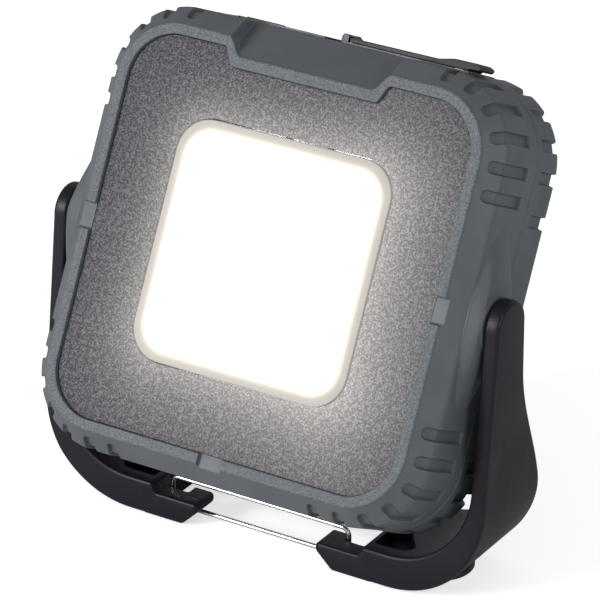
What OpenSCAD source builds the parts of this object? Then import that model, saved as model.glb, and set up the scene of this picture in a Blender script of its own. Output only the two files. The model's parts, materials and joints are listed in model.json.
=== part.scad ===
// Battery work light: a square LED floodlight head that tilts in a U-shaped stand.
// Frame: +Z up, X to the right, the lit face looks towards -Y.
// The origin is on the ground, in the middle of the light's bounding box at rest.
// Everything inside in_head() is drawn in the head's own frame: its origin is on the
// tilt axis, Y runs into the depth of the head and Z runs up its face.

/* [Head] */
// Width and height of the square head
head_w = 152; // [150:0.5:154]
// Depth of the head from its rim to its back
head_d = 46.5; // [46:0.5:49]
// Radius of the head's outer corners
corner_r = 27.5; // [26:0.5:29]
// Depth of the bevel around the face
bevel_d = 7; // [6.5:0.25:7.5]
// Distance that the rim sits in from the side faces
bevel_w = 7; // [6.5:0.25:7.5]
// Width of the flat top of the rim
rim_w = 3.4; // [3:0.1:4]
// Wall thickness of both housing shells
wall = 2.6; // [2.4:0.1:3]
// Distance from the rim back to the joint between the shells
parting_d = 28.2; // [27.5:0.1:28.5]
// Distance from the rim back to the tilt axis
pivot_d = 17.5; // [17:0.25:18]

/* [Window] */
// Half width of the frosted lens
lens_half = 41; // [40:0.5:43]
// Corner radius of the frosted lens
lens_r = 12; // [11:0.5:14]

/* [Stand] */
// Height of the tilt axis above the ground
pivot_h = 98; // [97:0.5:102]
// Depth of the stand's base, front to back
base_d = 40; // [40:0.5:44]
// Thickness of the stand's arms
arm_t = 5.5; // [5:0.1:6.5]
// Gap between the head's side faces and the stand's arms
arm_gap = 4.8; // [4.5:0.1:5.5]
// Height of the stand's base bar
base_h = 13; // [12:0.25:13.5]
// Angle that the head leans back in its rest position
rest_tilt = 27; // [0:1:40]

/* [Hanging wire] */
// Diameter of the steel wire
wire_d = 1.6; // [1.4:0.1:1.8]
// Distance between the wire's two uprights
bail_w = 70; // [69:0.5:71]
// Height of the wire loop above its pivot bar
bail_h = 10.6; // [10:0.1:11]
// Side play: how far the loop has slid off centre
bail_shift = -3; // [-3.5:0.5:0]

/* [Hidden] */

$fn = 44;
EPS = 0.01;
FIT = 0.1;          // gap between fixed pieces that drop into each other
RUN = 0.06;         // radial gap of a turning fit
SCREW = 0.05;       // radial gap around a screw

// Colours
GREY = [0.35, 0.37, 0.39];
PANEL = [0.25, 0.24, 0.27];
BLACK = [0.09, 0.08, 0.11];
STEEL = [0.75, 0.75, 0.73];
ALUMINIUM = [0.80, 0.81, 0.82];
WHITE = [0.95, 0.95, 0.93];
BOARD = [0.12, 0.36, 0.22];
PHOSPHOR = [0.98, 0.87, 0.45];
CELL = [0.16, 0.42, 0.62];
RUBBER = [0.12, 0.12, 0.13];

// ---- Head: places in the head's frame ----
half = head_w / 2;
corner_c = half - corner_r;             // the corner centres, shared by every offset outline
y_rim = -pivot_d;
y_panel = y_rim + 1.5;                  // the panel's face lies just below the rim
panel_t = 1.9;
y_seat = y_panel + panel_t + FIT;       // the seat behind the panel
front_wall = 2;
y_wall = y_seat + front_wall;           // back of the housing's front wall
y_side = y_rim + bevel_d;               // where the bevel meets the side faces
y_part = y_rim + parting_d;
y_back = y_rim + head_d;
rim_half = half - bevel_w;              // outer edge of the rim
panel_half = rim_half - rim_w;
side_draft = 0.4;                       // the side faces lean in this much towards the bevel
side_half = half - side_draft;
bevel_a = atan2(bevel_w - side_draft, bevel_d);
inner_side = side_half - wall;          // inner face of the housing's sides
flange_w = 2.2;                         // both shells are thicker where they meet
flange_front = 2;
flange_rear = 3;
gasket_at = half - wall - 0.4;
gasket_w = 1.6;
gasket_d = 1.1;

// Lens in its opening
lens_gap = 0.4;
lens_ledge = 3;                         // width of the ledge that the lens sits on
window_half = lens_half - lens_ledge;
lens_groove_at = lens_half - 1.5;
lens_groove_d = 0.8;
ledge_w = 5;                            // width of the panel's seat at the rim

// Dip of the rim at the top, and the scoop above it
dip_low = panel_half - 6.3;
dip_floor_x = 28;
dip_mouth_x = 31;
scoop_back = y_rim + 14;
scoop_low = dip_low + rim_w + 0.2;
scoop_floor_x = dip_floor_x - 2.5;
scoop_mouth_x = dip_mouth_x - 0.8;
scoop_slope = (half - scoop_low) / (scoop_back - y_rim);

// Grip slots around the corners, and the matching notches in the rear shell
slot_w = 4.2;
slot_depth = 1.4;
slot_angles = [0, 22.5, 45, 67.5, 90];
slot_step = 9.5;
slot_y = y_rim + 3.6;                   // middle of the slot's round front end
slot_x = rim_half + (slot_y - y_rim) * tan(bevel_a);
slot_end = y_rim + 22.5;
rim_cut_w = 9;
notch_step = 14.5;
notch_start = y_part + 3.3;
rear_round = 6;
rear_flare = 0.7;
rear_edge_x = half - 13;                // the flat back starts here
back_recess = 0.8;
back_panel_x = 46;
back_panel_z = 50;

// Screws that join the two shells
post_xz = half - 19.5;
post_r = 4.6;
rear_post_r = 5.2;
screw_r = 1.5;
screw_head_r = 2.8;
screw_head_h = 2.4;
shell_head_y = y_back - 9;              // seat of the shell screws' heads
shell_screw_tip = y_part - 12;

// Tilt pivots
stub_r = 7;
boss_r = 10.6;
arm_in = half + arm_gap;
arm_out = arm_in + arm_t;
boss_face = arm_in - 0.4;
boss_in = inner_side - 0.5;             // flat inner face of the pivot boss
ring_t = 0.8;
stub_end = boss_in - ring_t - FIT;
washer_r = 9;
washer_t = 1.2;
pivot_screw_r = 2;
pivot_screw_len = 11;
pivot_head_r = 3.8;
pivot_head_h = 2.4;

// Light unit, from front to back
chip_half = 21;
chip_t = 1;
led_half = 33;
led_y = y_wall + 7.5;
led_t = 1.6;
pad_half = 27;
pad_t = 0.5;
sink_y = led_y + led_t + pad_t;
sink_t = 3;
sink_half_x = 57;
sink_half_z = 50;
sink_edge = 10;
led_screw_at = 30;
sink_screw_x = 50;
sink_screw_z = 30;
sink_screw_len = 7;
small_boss_r = 3.4;
small_screw_r = 1.25;
small_head_r = 2.3;
small_head_h = 1.6;

// Battery
cell_r = 9.2;
cell_len = 65;
cell_pitch = 20;
cell_count = 4;
cell_z0 = -40;
cell_y = sink_y + sink_t + 2.2 + cell_r;
strap_t = 0.3;
cradle_wall = 1.8;
cradle_half_x = cell_len / 2 + 0.8 + cradle_wall;
cradle_rib_x = 14;
cradle_back = cell_y + cell_r + 0.6;    // inner face of the cradle's back
ear_x = cradle_half_x + 5;
ear_z = [cell_z0, cell_z0 + (cell_count - 1) * cell_pitch];
cradle_screw_tip = y_back - 1.4;
cradle_z = [cell_z0 - cell_r - 0.8, cell_z0 + (cell_count - 1) * cell_pitch + cell_r + 0.8];
lead_r = 0.6;
lead_z = cell_z0 + (cell_count - 1) * cell_pitch + 8;
led_lead_x = 8;
led_lead_y = led_y + 0.8;
led_lead_z = 56;
led_lead_end_y = 3;

// Controls and ports on the top face
top_y = scoop_back + 6;                 // middle of the control strip and of the flap
strip_x = [-38.5, -3];
strip_d = 10.4;
strip_bed = 1;
strip_t = 1.4;
button_x = -30;
button_w = 13;
button_d = 6.6;
button_gap = 0.3;
button_travel = 0.8;
button_top = half + 0.7;
button_foot_t = 1;
button_low = inner_side - 0.15 - button_foot_t;
pipe_r = 1;
indicator_x = [for (i = [0:3]) -19.5 + 4.2 * i];
usb_c_x = 15;
usb_a_x = 33;
port_c = [12, 5.4];
port_a = [17, 7.6];
frame_x = [1, 51.5];
frame_bed = 0.8;
frame_top = half + 0.3;
flap_z = frame_top + 0.15;
flap_t = 1.9;
tab_t = 3.1;
plug_t = 1.2;
tab_x = [37.5, 54.3];
flap_x1 = 50;
pin_r = 0.7;
pin_x = 3;
pin_z = half + 1.7;
knuckle_r = 1.25;
knuckle_d = 6.2;
lug_r = 1.3;
lug_w = 1.5;
lug_y = knuckle_d / 2 + 0.15 + lug_w / 2;
flap_start = pin_x + 2;

// Main circuit board, lying below the ports
board_z = half - 11;
board_t = 1.6;
board_x = 46;
board_y = [scoop_back + 4, scoop_back + 25];
rib_x = 42;
rib_w = 6;
rib_h = 5;
board_screw_y = 6;
board_screw_len = 5.5;
socket_top = inner_side - 0.7;
switch_top = button_low - button_travel - 0.1;

// ---- Stand: places above the ground ----
front_reach = y_rim * cos(rest_tilt) - rim_half * sin(rest_tilt);
rear_reach = rear_round + (y_back - rear_round) * cos(rest_tilt)
  + (half + rear_flare - rear_round) * sin(rest_tilt);
pivot_y = -(front_reach + rear_reach) / 2;
base_y = pivot_y + 1.5;                 // middle of the stand's base, front to back
base_front = base_y - base_d / 2;
base_back = base_y + base_d / 2;
foot_lift = 0.5;                        // the rubber pads hold the stand off the ground
outer_corner = 35.5;
inner_corner = 30;
arm_top_r = 9;
arm_back = pivot_y + arm_top_r;
arm_front_z = 15.5;
flare_top = pivot_h - 18;               // the arm's rear edge starts to flare out here
flare_low = 28;
flare_steps = 12;
gap_x = 41.5;                           // half width of the opening between the feet
beam_d = 8.5;
beam_h = 9;
tip_x = 23.5;
tip_h = 9.5;
tip_d = 11.6;
tip_slope = 6;                          // height of the slope under each finger's end
notch_x = [30.8, 39.2];
notch_gap = 1.5;                        // from the wire's axis to the front of the notch
wire_r = wire_d / 2;
wire_y = base_front + 8;
wire_z = 2.8;
wire_bend = 2.6;
pad_x = 57.5;
pad_y = base_y + 4;
pad_r = 12;
pad_top = 2;
pocket_floor = 7.5;
magnet_r = 9;
magnet_t = 4;

// ---- Helpers ----
module in_head() {
  translate([0, pivot_y, pivot_h])
    rotate([-rest_tilt, 0, 0])
      children();
}

// A flat (X, Z) outline made solid between two depths
module slab(y0, y1) {
  translate([0, y1, 0])
    rotate([90, 0, 0])
      linear_extrude(y1 - y0)
        children();
}

// A flat (Y, Z) outline made solid between two X places
module bar(x0, x1) {
  translate([x0, 0, 0])
    rotate([90, 0, 90])
      linear_extrude(x1 - x0)
        children();
}

module rod_x(x0, x1, r) {
  translate([x0, 0, 0])
    rotate([0, 90, 0])
      cylinder(h = x1 - x0, r = r);
}

module rod_y(y0, y1, r, z = 0) {
  translate([0, y1, z])
    rotate([90, 0, 0])
      cylinder(h = y1 - y0, r = r);
}

module rod_z(y, z0, z1) {
  translate([0, y, z0])
    cylinder(h = z1 - z0, r = lead_r);
}

module box(x, y, z) {
  translate([x[0], y[0], z[0]])
    cube([x[1] - x[0], y[1] - y[0], z[1] - z[0]]);
}

module round_rect(w, d, r) {
  square([w, d - 2 * r], center = true);
  square([w - 2 * r, d], center = true);
  for (sx = [-1, 1], sy = [-1, 1])
    translate([sx * (w / 2 - r), sy * (d / 2 - r)])
      circle(r);
}

module round_square(h, r) {
  round_rect(2 * h, 2 * h, r);
}

module both_sides() {
  children();
  mirror([1, 0, 0])
    children();
}

module at_corners(x, z) {
  for (sx = [-1, 1], sz = [-1, 1])
    translate([sx * x, 0, sz * z])
      children();
}

module at_corners_2d(x, y) {
  for (sx = [-1, 1], sy = [-1, 1])
    translate([sx * x, sy * y])
      children();
}

// A cross-section (half width, depth) run around the head's sides and corners
module around_head() {
  for (k = [0:3])
    rotate([0, 90 * k, 0]) {
      linear_extrude(2 * corner_c, center = true)
        children();
      translate([corner_c, 0, -corner_c])
        rotate([-90, 0, 0])
          rotate_extrude(angle = 90)
            translate([-corner_c, 0])
              children();
    }
}

// Puts a cutter, drawn for the +X side, at each corner's five places and at one more on each
// side of the corner. The top face has no extra places when plain_top is set.
module at_grips(step, plain_top) {
  for (k = [0:3])
    rotate([0, 90 * k, 0]) {
      for (a = slot_angles)
        translate([corner_c, 0, -corner_c])
          rotate([0, a, 0])
            translate([-corner_c, 0, 0])
              children();
      if (!plain_top || k != 3)
        translate([0, 0, step - corner_c])
          children();
      if (!plain_top || k != 2)
        rotate([0, 90, 0])
          translate([0, 0, corner_c - step])
            children();
    }
}

// ---- Front shell ----
module front_section() {
  polygon([
    [panel_half, y_rim],
    [rim_half, y_rim],
    [side_half, y_side],
    [half, y_part],
    [half - wall - flange_w, y_part],
    [half - wall - flange_w, y_part - flange_front],
    [half - wall, y_part - flange_front - 2],
    [inner_side, y_side + wall / 2],
    [rim_half - wall, y_wall],
    [panel_half - ledge_w, y_wall],
    [panel_half - ledge_w, y_seat],
    [panel_half, y_seat]
  ]);
}

module dip_outline(gap) {
  polygon([
    [-dip_floor_x - gap, dip_low - gap],
    [dip_floor_x + gap, dip_low - gap],
    [dip_mouth_x + gap, panel_half + 1],
    [-dip_mouth_x - gap, panel_half + 1]
  ]);
}

// Outline of the panel and of its bed; gap shrinks it all round
module face_outline(gap) {
  difference() {
    round_square(panel_half - gap, panel_half - corner_c - gap);
    dip_outline(gap);
  }
}

// The rim steps down at the top; this block carries its lower part and the scoop's floor
module dip_block() {
  difference() {
    bar(-dip_mouth_x - wall, dip_mouth_x + wall)
      polygon([
        [y_rim, dip_low],
        [y_rim, rim_half],
        [y_side, side_half],
        [scoop_back + 1, side_half],
        [scoop_back + 1, inner_side],
        [scoop_back - 2, inner_side],
        [y_wall, dip_low + 1],
        [y_wall, dip_low]
      ]);
    slab(y_rim - 1, y_seat)
      face_outline(0);
  }
}

module scoop_cut() {
  intersection() {
    bar(-half, half)
      polygon([
        [y_rim - 1, scoop_low - scoop_slope],
        [scoop_back + 1, half + scoop_slope],
        [y_rim - 1, half + scoop_slope]
      ]);
    slab(y_rim - 2, scoop_back + 2)
      polygon([
        [-scoop_floor_x, scoop_low - 2],
        [scoop_floor_x, scoop_low - 2],
        [scoop_mouth_x, half + 2],
        [-scoop_mouth_x, half + 2]
      ]);
  }
}

// Grip slot: runs down the bevel and along the side face, with a round front end
module grip_slot() {
  slant = (y_side - slot_y) / cos(bevel_a);
  translate([slot_x, slot_y, 0])
    rotate([0, 0, -bevel_a])
      rotate([0, 90, 0])
        linear_extrude(2 * slot_depth, center = true) {
          circle(slot_w / 2);
          translate([-slot_w / 2, 0])
            square([slot_w, slant + 1]);
        }
  box([side_half - slot_depth, half + 2], [y_side - 0.3, slot_end], [-slot_w / 2, slot_w / 2]);
}

// Shallow cuts through the rim, half way along both sides and the bottom
module rim_cuts() {
  for (a = [0, 90, 180])
    rotate([0, a, 0])
      box([panel_half - 1, half], [y_rim - 1, y_panel], [-rim_cut_w / 2, rim_cut_w / 2]);
}

module port_holes(gap) {
  translate([usb_c_x, 0])
    round_rect(port_c[0] + gap, port_c[1] + gap, 2);
  translate([usb_a_x, 0])
    round_rect(port_a[0] + gap, port_a[1] + gap, 1.2);
}

module button_hole(gap) {
  translate([button_x, 0])
    round_rect(button_w + gap, button_d + gap, 2);
}

module indicator_holes(r) {
  for (x = indicator_x)
    translate([x, 0])
      circle(r);
}

module bed_outline(x, gap) {
  translate([(x[0] + x[1]) / 2, 0])
    round_rect(x[1] - x[0] + 2 * gap, strip_d + 2 * gap, 1.5 + gap);
}

// Flat outline (X, Y) made solid between two heights above the head's middle, at the top controls
module at_top(z0, z1) {
  translate([0, top_y, z0])
    linear_extrude(z1 - z0)
      children();
}

module top_openings() {
  at_top(half - strip_bed, half + 5)
    bed_outline(strip_x, FIT);
  at_top(half - frame_bed, half + 5)
    bed_outline(frame_x, FIT);
  at_top(half - 2 * wall, half + 5) {
    button_hole(button_gap);
    port_holes(0);
    indicator_holes(pipe_r + FIT);
  }
}

module front_housing() {
  color(GREY)
    in_head()
      difference() {
        union() {
          around_head()
            front_section();
          slab(y_seat, y_wall)
            difference() {
              round_square(panel_half - 4, panel_half - 4 - corner_c);
              round_square(window_half, lens_r - lens_ledge);
            }
          dip_block();
          both_sides()
            rod_x(boss_in, boss_face, boss_r);
          at_corners(post_xz, post_xz)
            rod_y(y_wall - 1, y_part, post_r);
          at_corners(sink_screw_x, sink_screw_z)
            rod_y(y_wall - 1, sink_y - FIT, small_boss_r);
          both_sides()
            box([rib_x - rib_w / 2, rib_x + rib_w / 2], [y_wall - 1, y_part - 0.5],
              [board_z - board_t - rib_h, board_z - board_t - FIT]);
        }
        scoop_cut();
        at_grips(slot_step, true)
          grip_slot();
        rim_cuts();
        both_sides() {
          rod_x(boss_in - 1, arm_in, stub_r + RUN);
          rod_x(boss_in - 6, boss_in, washer_r + 0.4);
        }
        at_corners(post_xz, post_xz)
          rod_y(shell_screw_tip - 1, y_part + 1, screw_r + SCREW);
        at_corners(sink_screw_x, sink_screw_z)
          rod_y(sink_y - sink_screw_len - 0.5, sink_y, small_screw_r + SCREW);
        both_sides()
          translate([rib_x, board_screw_y, board_z - board_screw_len - 0.5])
            cylinder(h = board_screw_len, r = small_screw_r + SCREW);
        lens_groove(0);
        top_openings();
      }
}

// Groove in the front wall that holds the lens gasket
module lens_groove(gap) {
  slab(y_seat - 1 + gap, y_seat + lens_groove_d - gap)
    difference() {
      round_square(lens_groove_at + 0.6 - gap, lens_r - 0.9 - gap);
      round_square(lens_groove_at - 0.6 + gap, lens_r - 2.1 + gap);
    }
}

// ---- Rear shell ----
// Filled outline (half width, depth) of the rear shell's side and back, drawn in by inset
module rear_profile(inset, y0) {
  r = rear_round - inset;
  cx = half + rear_flare - rear_round;
  cy = y_back - rear_round;
  polygon([
    [rear_edge_x - inset, y0],
    [half - inset, y0],
    [cx + r, cy],
    [cx, cy + r],
    [rear_edge_x - inset, cy + r]
  ]);
  translate([cx, cy])
    circle(r);
}

module rear_section() {
  difference() {
    rear_profile(0, y_part);
    rear_profile(wall, y_part - 1);
  }
  polygon([
    [half - wall - flange_w, y_part],
    [half - wall + 0.5, y_part],
    [half - wall + 0.5, y_part + flange_rear + 2],
    [half - wall - flange_w, y_part + flange_rear]
  ]);
}

module rear_notch() {
  linear_extrude(slot_w, center = true)
    difference() {
      translate([rear_edge_x + 2, notch_start])
        square([half - rear_edge_x + 4, y_back]);
      rear_profile(slot_depth, notch_start - 1);
    }
}

module gasket_section(gap) {
  translate([gasket_at - gasket_w / 2 + gap, y_part - 1])
    square([gasket_w - 2 * gap, 1 + gasket_d - gap]);
}

module rear_housing() {
  color(GREY)
    in_head()
      difference() {
        union() {
          around_head()
            rear_section();
          slab(y_back - wall, y_back)
            round_square(rear_edge_x + 1, rear_edge_x + 1 - corner_c);
          at_corners(post_xz, post_xz)
            rod_y(y_part, y_back - 1, rear_post_r);
          at_ears()
            rod_y(cradle_back + cradle_wall + FIT, y_back - 1, small_boss_r);
        }
        at_grips(notch_step, false)
          rear_notch();
        around_head()
          gasket_section(0);
        slab(y_back - back_recess, y_back + 1)
          round_rect(2 * back_panel_x, 2 * back_panel_z, 8);
        at_corners(post_xz, post_xz) {
          rod_y(y_part - 1, y_back, screw_r + SCREW);
          rod_y(shell_head_y, y_back + 1, screw_head_r + 0.4);
        }
        at_ears()
          rod_y(cradle_back, cradle_screw_tip + 0.4, small_screw_r + SCREW);
      }
}

module housing_gasket() {
  color(RUBBER)
    in_head()
      intersection() {
        around_head()
          gasket_section(FIT);
        slab(y_part + 0.03, y_back)
          square(2 * head_w, center = true);
      }
}

module housing_screws() {
  color(STEEL)
    in_head()
      at_corners(post_xz, post_xz)
        difference() {
          union() {
            rod_y(shell_screw_tip, shell_head_y + 1, screw_r);
            rod_y(shell_head_y, shell_head_y + screw_head_h, screw_head_r);
          }
          hex_socket(shell_head_y + screw_head_h, 1.2, 1.3);
        }
}

// Socket cut into a screw head that faces the back
module hex_socket(face_y, r, depth) {
  translate([0, face_y + 1, 0])
    rotate([90, 0, 0])
      cylinder(h = depth + 1, r = r, $fn = 6);
}

// ---- Face ----
module front_panel() {
  color(PANEL)
    in_head()
      slab(y_panel, y_seat - FIT)
        difference() {
          face_outline(FIT);
          round_square(lens_half + lens_gap, lens_r + lens_gap);
        }
}

module window_lens() {
  color(WHITE)
    in_head()
      slab(y_panel, y_seat - FIT)
        round_square(lens_half, lens_r);
}

module lens_gasket() {
  color(RUBBER)
    in_head()
      intersection() {
        lens_groove(FIT);
        slab(y_seat - FIT / 2, y_wall)
          square(head_w, center = true);
      }
}

// ---- Light unit ----
module funnel(back_half, front_half, y0, y1) {
  hull($fn = 32) {
    slab(y0, y0 + EPS)
      round_square(front_half, lens_r - lens_ledge, $fn = 32);
    slab(y1 - EPS, y1)
      round_square(back_half, 6, $fn = 32);
  }
}

module reflector() {
  color(WHITE)
    in_head()
      difference() {
        union() {
          funnel(chip_half + 2, window_half + 1, y_wall + FIT, led_y - FIT);
          slab(y_wall + FIT, y_wall + FIT + 1.2)
            round_square(window_half + 3, lens_r);
        }
        funnel(chip_half + 0.6, window_half - 0.5, y_wall, led_y);
        slab(y_wall - 1, y_wall + 2 * FIT)
          round_square(window_half - 0.6, lens_r - lens_ledge);
        slab(led_y - chip_t - 2 * FIT, led_y + 1)
          square(2 * chip_half + 1, center = true);
      }
}

module led_board() {
  color(WHITE)
    in_head()
      slab(led_y, led_y + led_t)
        difference() {
          square(2 * led_half, center = true);
          at_corners_2d(led_screw_at, led_screw_at)
            circle(small_screw_r + SCREW);
        }
}

module led_chip() {
  color(PHOSPHOR)
    in_head()
      slab(led_y - chip_t, led_y - 0.02)
        square(2 * chip_half, center = true);
}

module led_screws() {
  color(STEEL)
    in_head()
      at_corners(led_screw_at, led_screw_at) {
        rod_y(led_y - small_head_h, led_y - 0.02, small_head_r);
        rod_y(led_y - 1, sink_y + sink_t - 0.1, small_screw_r);
      }
}

module thermal_pad() {
  color(GREY)
    in_head()
      slab(led_y + led_t + 0.02, sink_y - 0.02)
        square(2 * pad_half, center = true);
}

// Folded aluminium plate; its two edges turn back to gain surface
module heat_sink() {
  color(ALUMINIUM)
    in_head()
      difference() {
        union() {
          slab(sink_y, sink_y + sink_t)
            square([2 * sink_half_x, 2 * sink_half_z], center = true);
          both_sides()
            box([sink_half_x - 2, sink_half_x], [sink_y, sink_y + sink_edge], [-sink_half_z, sink_half_z]);
        }
        at_corners(led_screw_at, led_screw_at)
          rod_y(sink_y - 1, sink_y + sink_t + 1, small_screw_r + SCREW);
        at_corners(sink_screw_x, sink_screw_z)
          rod_y(sink_y - 1, sink_y + sink_t + 1, small_screw_r + SCREW);
      }
}

module heat_sink_screws() {
  color(STEEL)
    in_head()
      at_corners(sink_screw_x, sink_screw_z) {
        rod_y(sink_y + sink_t + 0.02, sink_y + sink_t + small_head_h, small_head_r);
        rod_y(sink_y - sink_screw_len, sink_y + sink_t + 1, small_screw_r);
      }
}

// ---- Battery ----
module at_cells() {
  for (i = [0:cell_count - 1])
    translate([0, cell_y, cell_z0 + i * cell_pitch])
      children();
}

module at_ears() {
  for (sx = [-1, 1], z = ear_z)
    translate([sx * ear_x, 0, z])
      children();
}

module battery_cells() {
  color(CELL)
    in_head()
      at_cells() {
        rod_x(-cell_len / 2, cell_len / 2 - 0.8, cell_r);
        rod_x(cell_len / 2 - 1, cell_len / 2, 3);
      }
}

// Back plate with two end walls and two ribs that the cells lie in
module battery_cradle() {
  color(BLACK)
    in_head()
      difference() {
        union() {
          box([-ear_x - 4, ear_x + 4], [cradle_back, cradle_back + cradle_wall], cradle_z);
          both_sides() {
            box([cradle_half_x - cradle_wall, cradle_half_x], [cell_y - 7, cradle_back + 1], cradle_z);
            box([cradle_rib_x, cradle_rib_x + cradle_wall], [cell_y + 1, cradle_back + 1], cradle_z);
          }
        }
        at_cells()
          rod_x(-cell_len / 2 - 0.2, cell_len / 2 + 0.2, cell_r + 0.2);
        at_ears()
          rod_y(cradle_back - 1, cradle_back + cradle_wall + 1, small_screw_r + SCREW);
      }
}

// Welded strips: pairs of cells on one end, the middle pair on the other, and two tabs for the leads
module cell_straps() {
  color(STEEL)
    in_head() {
      strap(1, cell_z0, cell_z0 + cell_pitch);
      strap(1, cell_z0 + 2 * cell_pitch, lead_z);
      strap(-1, cell_z0, lead_z);
    }
}

module strap(side, z0, z1) {
  x0 = side > 0 ? cell_len / 2 + 0.02 : -cell_len / 2 - 0.02 - strap_t;
  box([x0, x0 + strap_t], [cell_y - 3, cell_y + 3], [z0 - 3, z1 + 3]);
}

module battery_leads() {
  color([0.7, 0.1, 0.1])
    in_head()
      both_sides()
        translate([cell_len / 2 + strap_t / 2, cell_y, lead_z + 3.05])
          cylinder(h = board_z - board_t - lead_z - 3.1, r = lead_r);
}

module cradle_screws() {
  color(STEEL)
    in_head()
      at_ears() {
        rod_y(cradle_back - small_head_h, cradle_back - 0.02, small_head_r);
        rod_y(cradle_back - 1, cradle_screw_tip, small_screw_r);
      }
}

// ---- Electronics ----
module main_circuit_board() {
  color(BOARD)
    in_head()
      difference() {
        box([-board_x, board_x], board_y, [board_z - board_t, board_z]);
        both_sides()
          translate([rib_x, board_screw_y, board_z - 5])
            cylinder(h = 10, r = small_screw_r + SCREW);
      }
}

module board_screws() {
  color(STEEL)
    in_head()
      both_sides()
        translate([rib_x, board_screw_y, board_z]) {
          translate([0, 0, 0.02])
            cylinder(h = small_head_h, r = small_head_r);
          translate([0, 0, -board_screw_len])
            cylinder(h = board_screw_len + 1, r = small_screw_r);
        }
}

// Metal shell of a socket that opens upwards, with the contact tongue inside
module socket(x, outer, inner, tongue, r) {
  translate([x, 0, 0])
    difference() {
      at_top(board_z + 0.02, socket_top)
        round_rect(outer[0], outer[1], r);
      at_top(board_z + 1.2, socket_top + 1)
        difference() {
          round_rect(inner[0], inner[1], max(r - 0.4, 0.2));
          square(tongue, center = true);
        }
      at_top(socket_top - 0.8, socket_top + 1)
        round_rect(inner[0], inner[1], max(r - 0.4, 0.2));
    }
}

module usb_c_socket() {
  color(STEEL)
    in_head()
      socket(usb_c_x, [9, 3.3], [8.3, 2.6], [6.6, 0.8], 1.6);
}

module usb_a_socket() {
  color(STEEL)
    in_head()
      socket(usb_a_x, [13.2, 5.8], [12.4, 5], [11, 2], 0.6);
}

module push_switch() {
  color(BLACK)
    in_head()
      translate([button_x, 0, 0]) {
        at_top(board_z + 0.02, switch_top - 2)
          square(6, center = true);
        at_top(switch_top - 2.5, switch_top)
          circle(1.7);
      }
}

module led_leads() {
  color([0.85, 0.85, 0.80])
    in_head()
      both_sides()
        translate([led_lead_x, 0, 0]) {
          rod_z(led_lead_y, led_half + 0.05, led_lead_z);
          translate([0, led_lead_y, led_lead_z])
            sphere(lead_r);
          rod_y(led_lead_y, led_lead_end_y, lead_r, led_lead_z);
          translate([0, led_lead_end_y, led_lead_z])
            sphere(lead_r);
          rod_z(led_lead_end_y, led_lead_z, board_z - board_t - 0.05);
        }
}

// ---- Controls on the top face ----
module charge_indicators() {
  color(WHITE)
    in_head()
      at_top(board_z + 0.8, button_top - 0.2)
        indicator_holes(pipe_r);
}

module control_strip() {
  color(BLACK)
    in_head()
      difference() {
        at_top(half - strip_bed + 0.02, half - strip_bed + strip_t)
          bed_outline(strip_x, 0);
        at_top(half - 5, half + 5) {
          button_hole(button_gap);
          indicator_holes(pipe_r + FIT);
        }
      }
}

// The key slides in the housing; a wider foot inside keeps it from coming out
module power_button() {
  color(RUBBER)
    in_head() {
      at_top(button_low, button_top)
        button_hole(0);
      at_top(button_low, button_low + button_foot_t)
        button_hole(2);
    }
}

module port_frame() {
  color(BLACK)
    in_head()
      difference() {
        union() {
          at_top(half - frame_bed + 0.02, frame_top)
            bed_outline(frame_x, 0);
          for (sy = [-1, 1])
            translate([0, top_y + sy * lug_y, 0])
              box([pin_x - lug_r, pin_x + lug_r], [-lug_w / 2, lug_w / 2], [half, pin_z]);
          for (sy = [-1, 1])
            translate([pin_x, top_y + sy * lug_y - lug_w / 2, pin_z])
              rod_y(0, lug_w, lug_r);
        }
        at_top(half - 5, half + 5)
          port_holes(0);
        translate([pin_x, 0, pin_z])
          rod_y(top_y - strip_d, top_y + strip_d, pin_r + 0.05);
      }
}

module flap_pin() {
  color(STEEL)
    in_head()
      translate([pin_x, top_y, pin_z])
        rod_y(-lug_y - lug_w / 2, lug_y + lug_w / 2, pin_r);
}

module port_flap() {
  color(BLACK)
    in_head()
      difference() {
        union() {
          at_top(flap_z, flap_z + flap_t)
            flap_outline(flap_start, flap_x1);
          at_top(flap_z + 0.5, flap_z + tab_t)
            flap_outline(tab_x[0], tab_x[1]);
          translate([pin_x, top_y, pin_z])
            rod_y(-knuckle_d / 2, knuckle_d / 2, knuckle_r);
          translate([0, top_y, 0])
            box([pin_x, flap_start + 2], [-knuckle_d / 2, knuckle_d / 2], [flap_z, flap_z + flap_t]);
          at_top(flap_z - plug_t, flap_z + 1)
            port_holes(-1.6);
        }
        translate([pin_x, 0, pin_z])
          rod_y(top_y - strip_d, top_y + strip_d, pin_r + RUN);
      }
}

module flap_outline(x0, x1) {
  translate([(x0 + x1) / 2, 0])
    round_rect(x1 - x0, strip_d, 1.5);
}

// ---- Stand ----
// Filled front outline of the U: straight sides with round lower corners
module tub(half_x, low, r, top) {
  translate([-half_x, low + r])
    square([2 * half_x, top - low - r]);
  translate([r - half_x, low])
    square([2 * (half_x - r), r + 1]);
  for (sx = [-1, 1])
    translate([sx * (half_x - r), low + r])
      circle(r);
}

function smooth(t) = t * t * (3 - 2 * t);
function arm_rear(z) =
  arm_back + (base_back - arm_back) * smooth(max(0, min(1, (flare_top - z) / (flare_top - flare_low))));

// Side outline (Y, Z) of an arm: upright front edge, sloping up to a round top
module arm_side() {
  polygon(concat(
    [
      [base_front, 0],
      [base_back, 0]
    ],
    [for (i = [0:flare_steps])
      let (z = flare_low + i * (flare_top - flare_low) / flare_steps)
        [arm_rear(z), z]],
    [
      [arm_back, pivot_h],
      [pivot_y - arm_top_r, pivot_h],
      [base_front, arm_front_z]
    ]
  ));
  translate([pivot_y, pivot_h])
    circle(arm_top_r);
}

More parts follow.
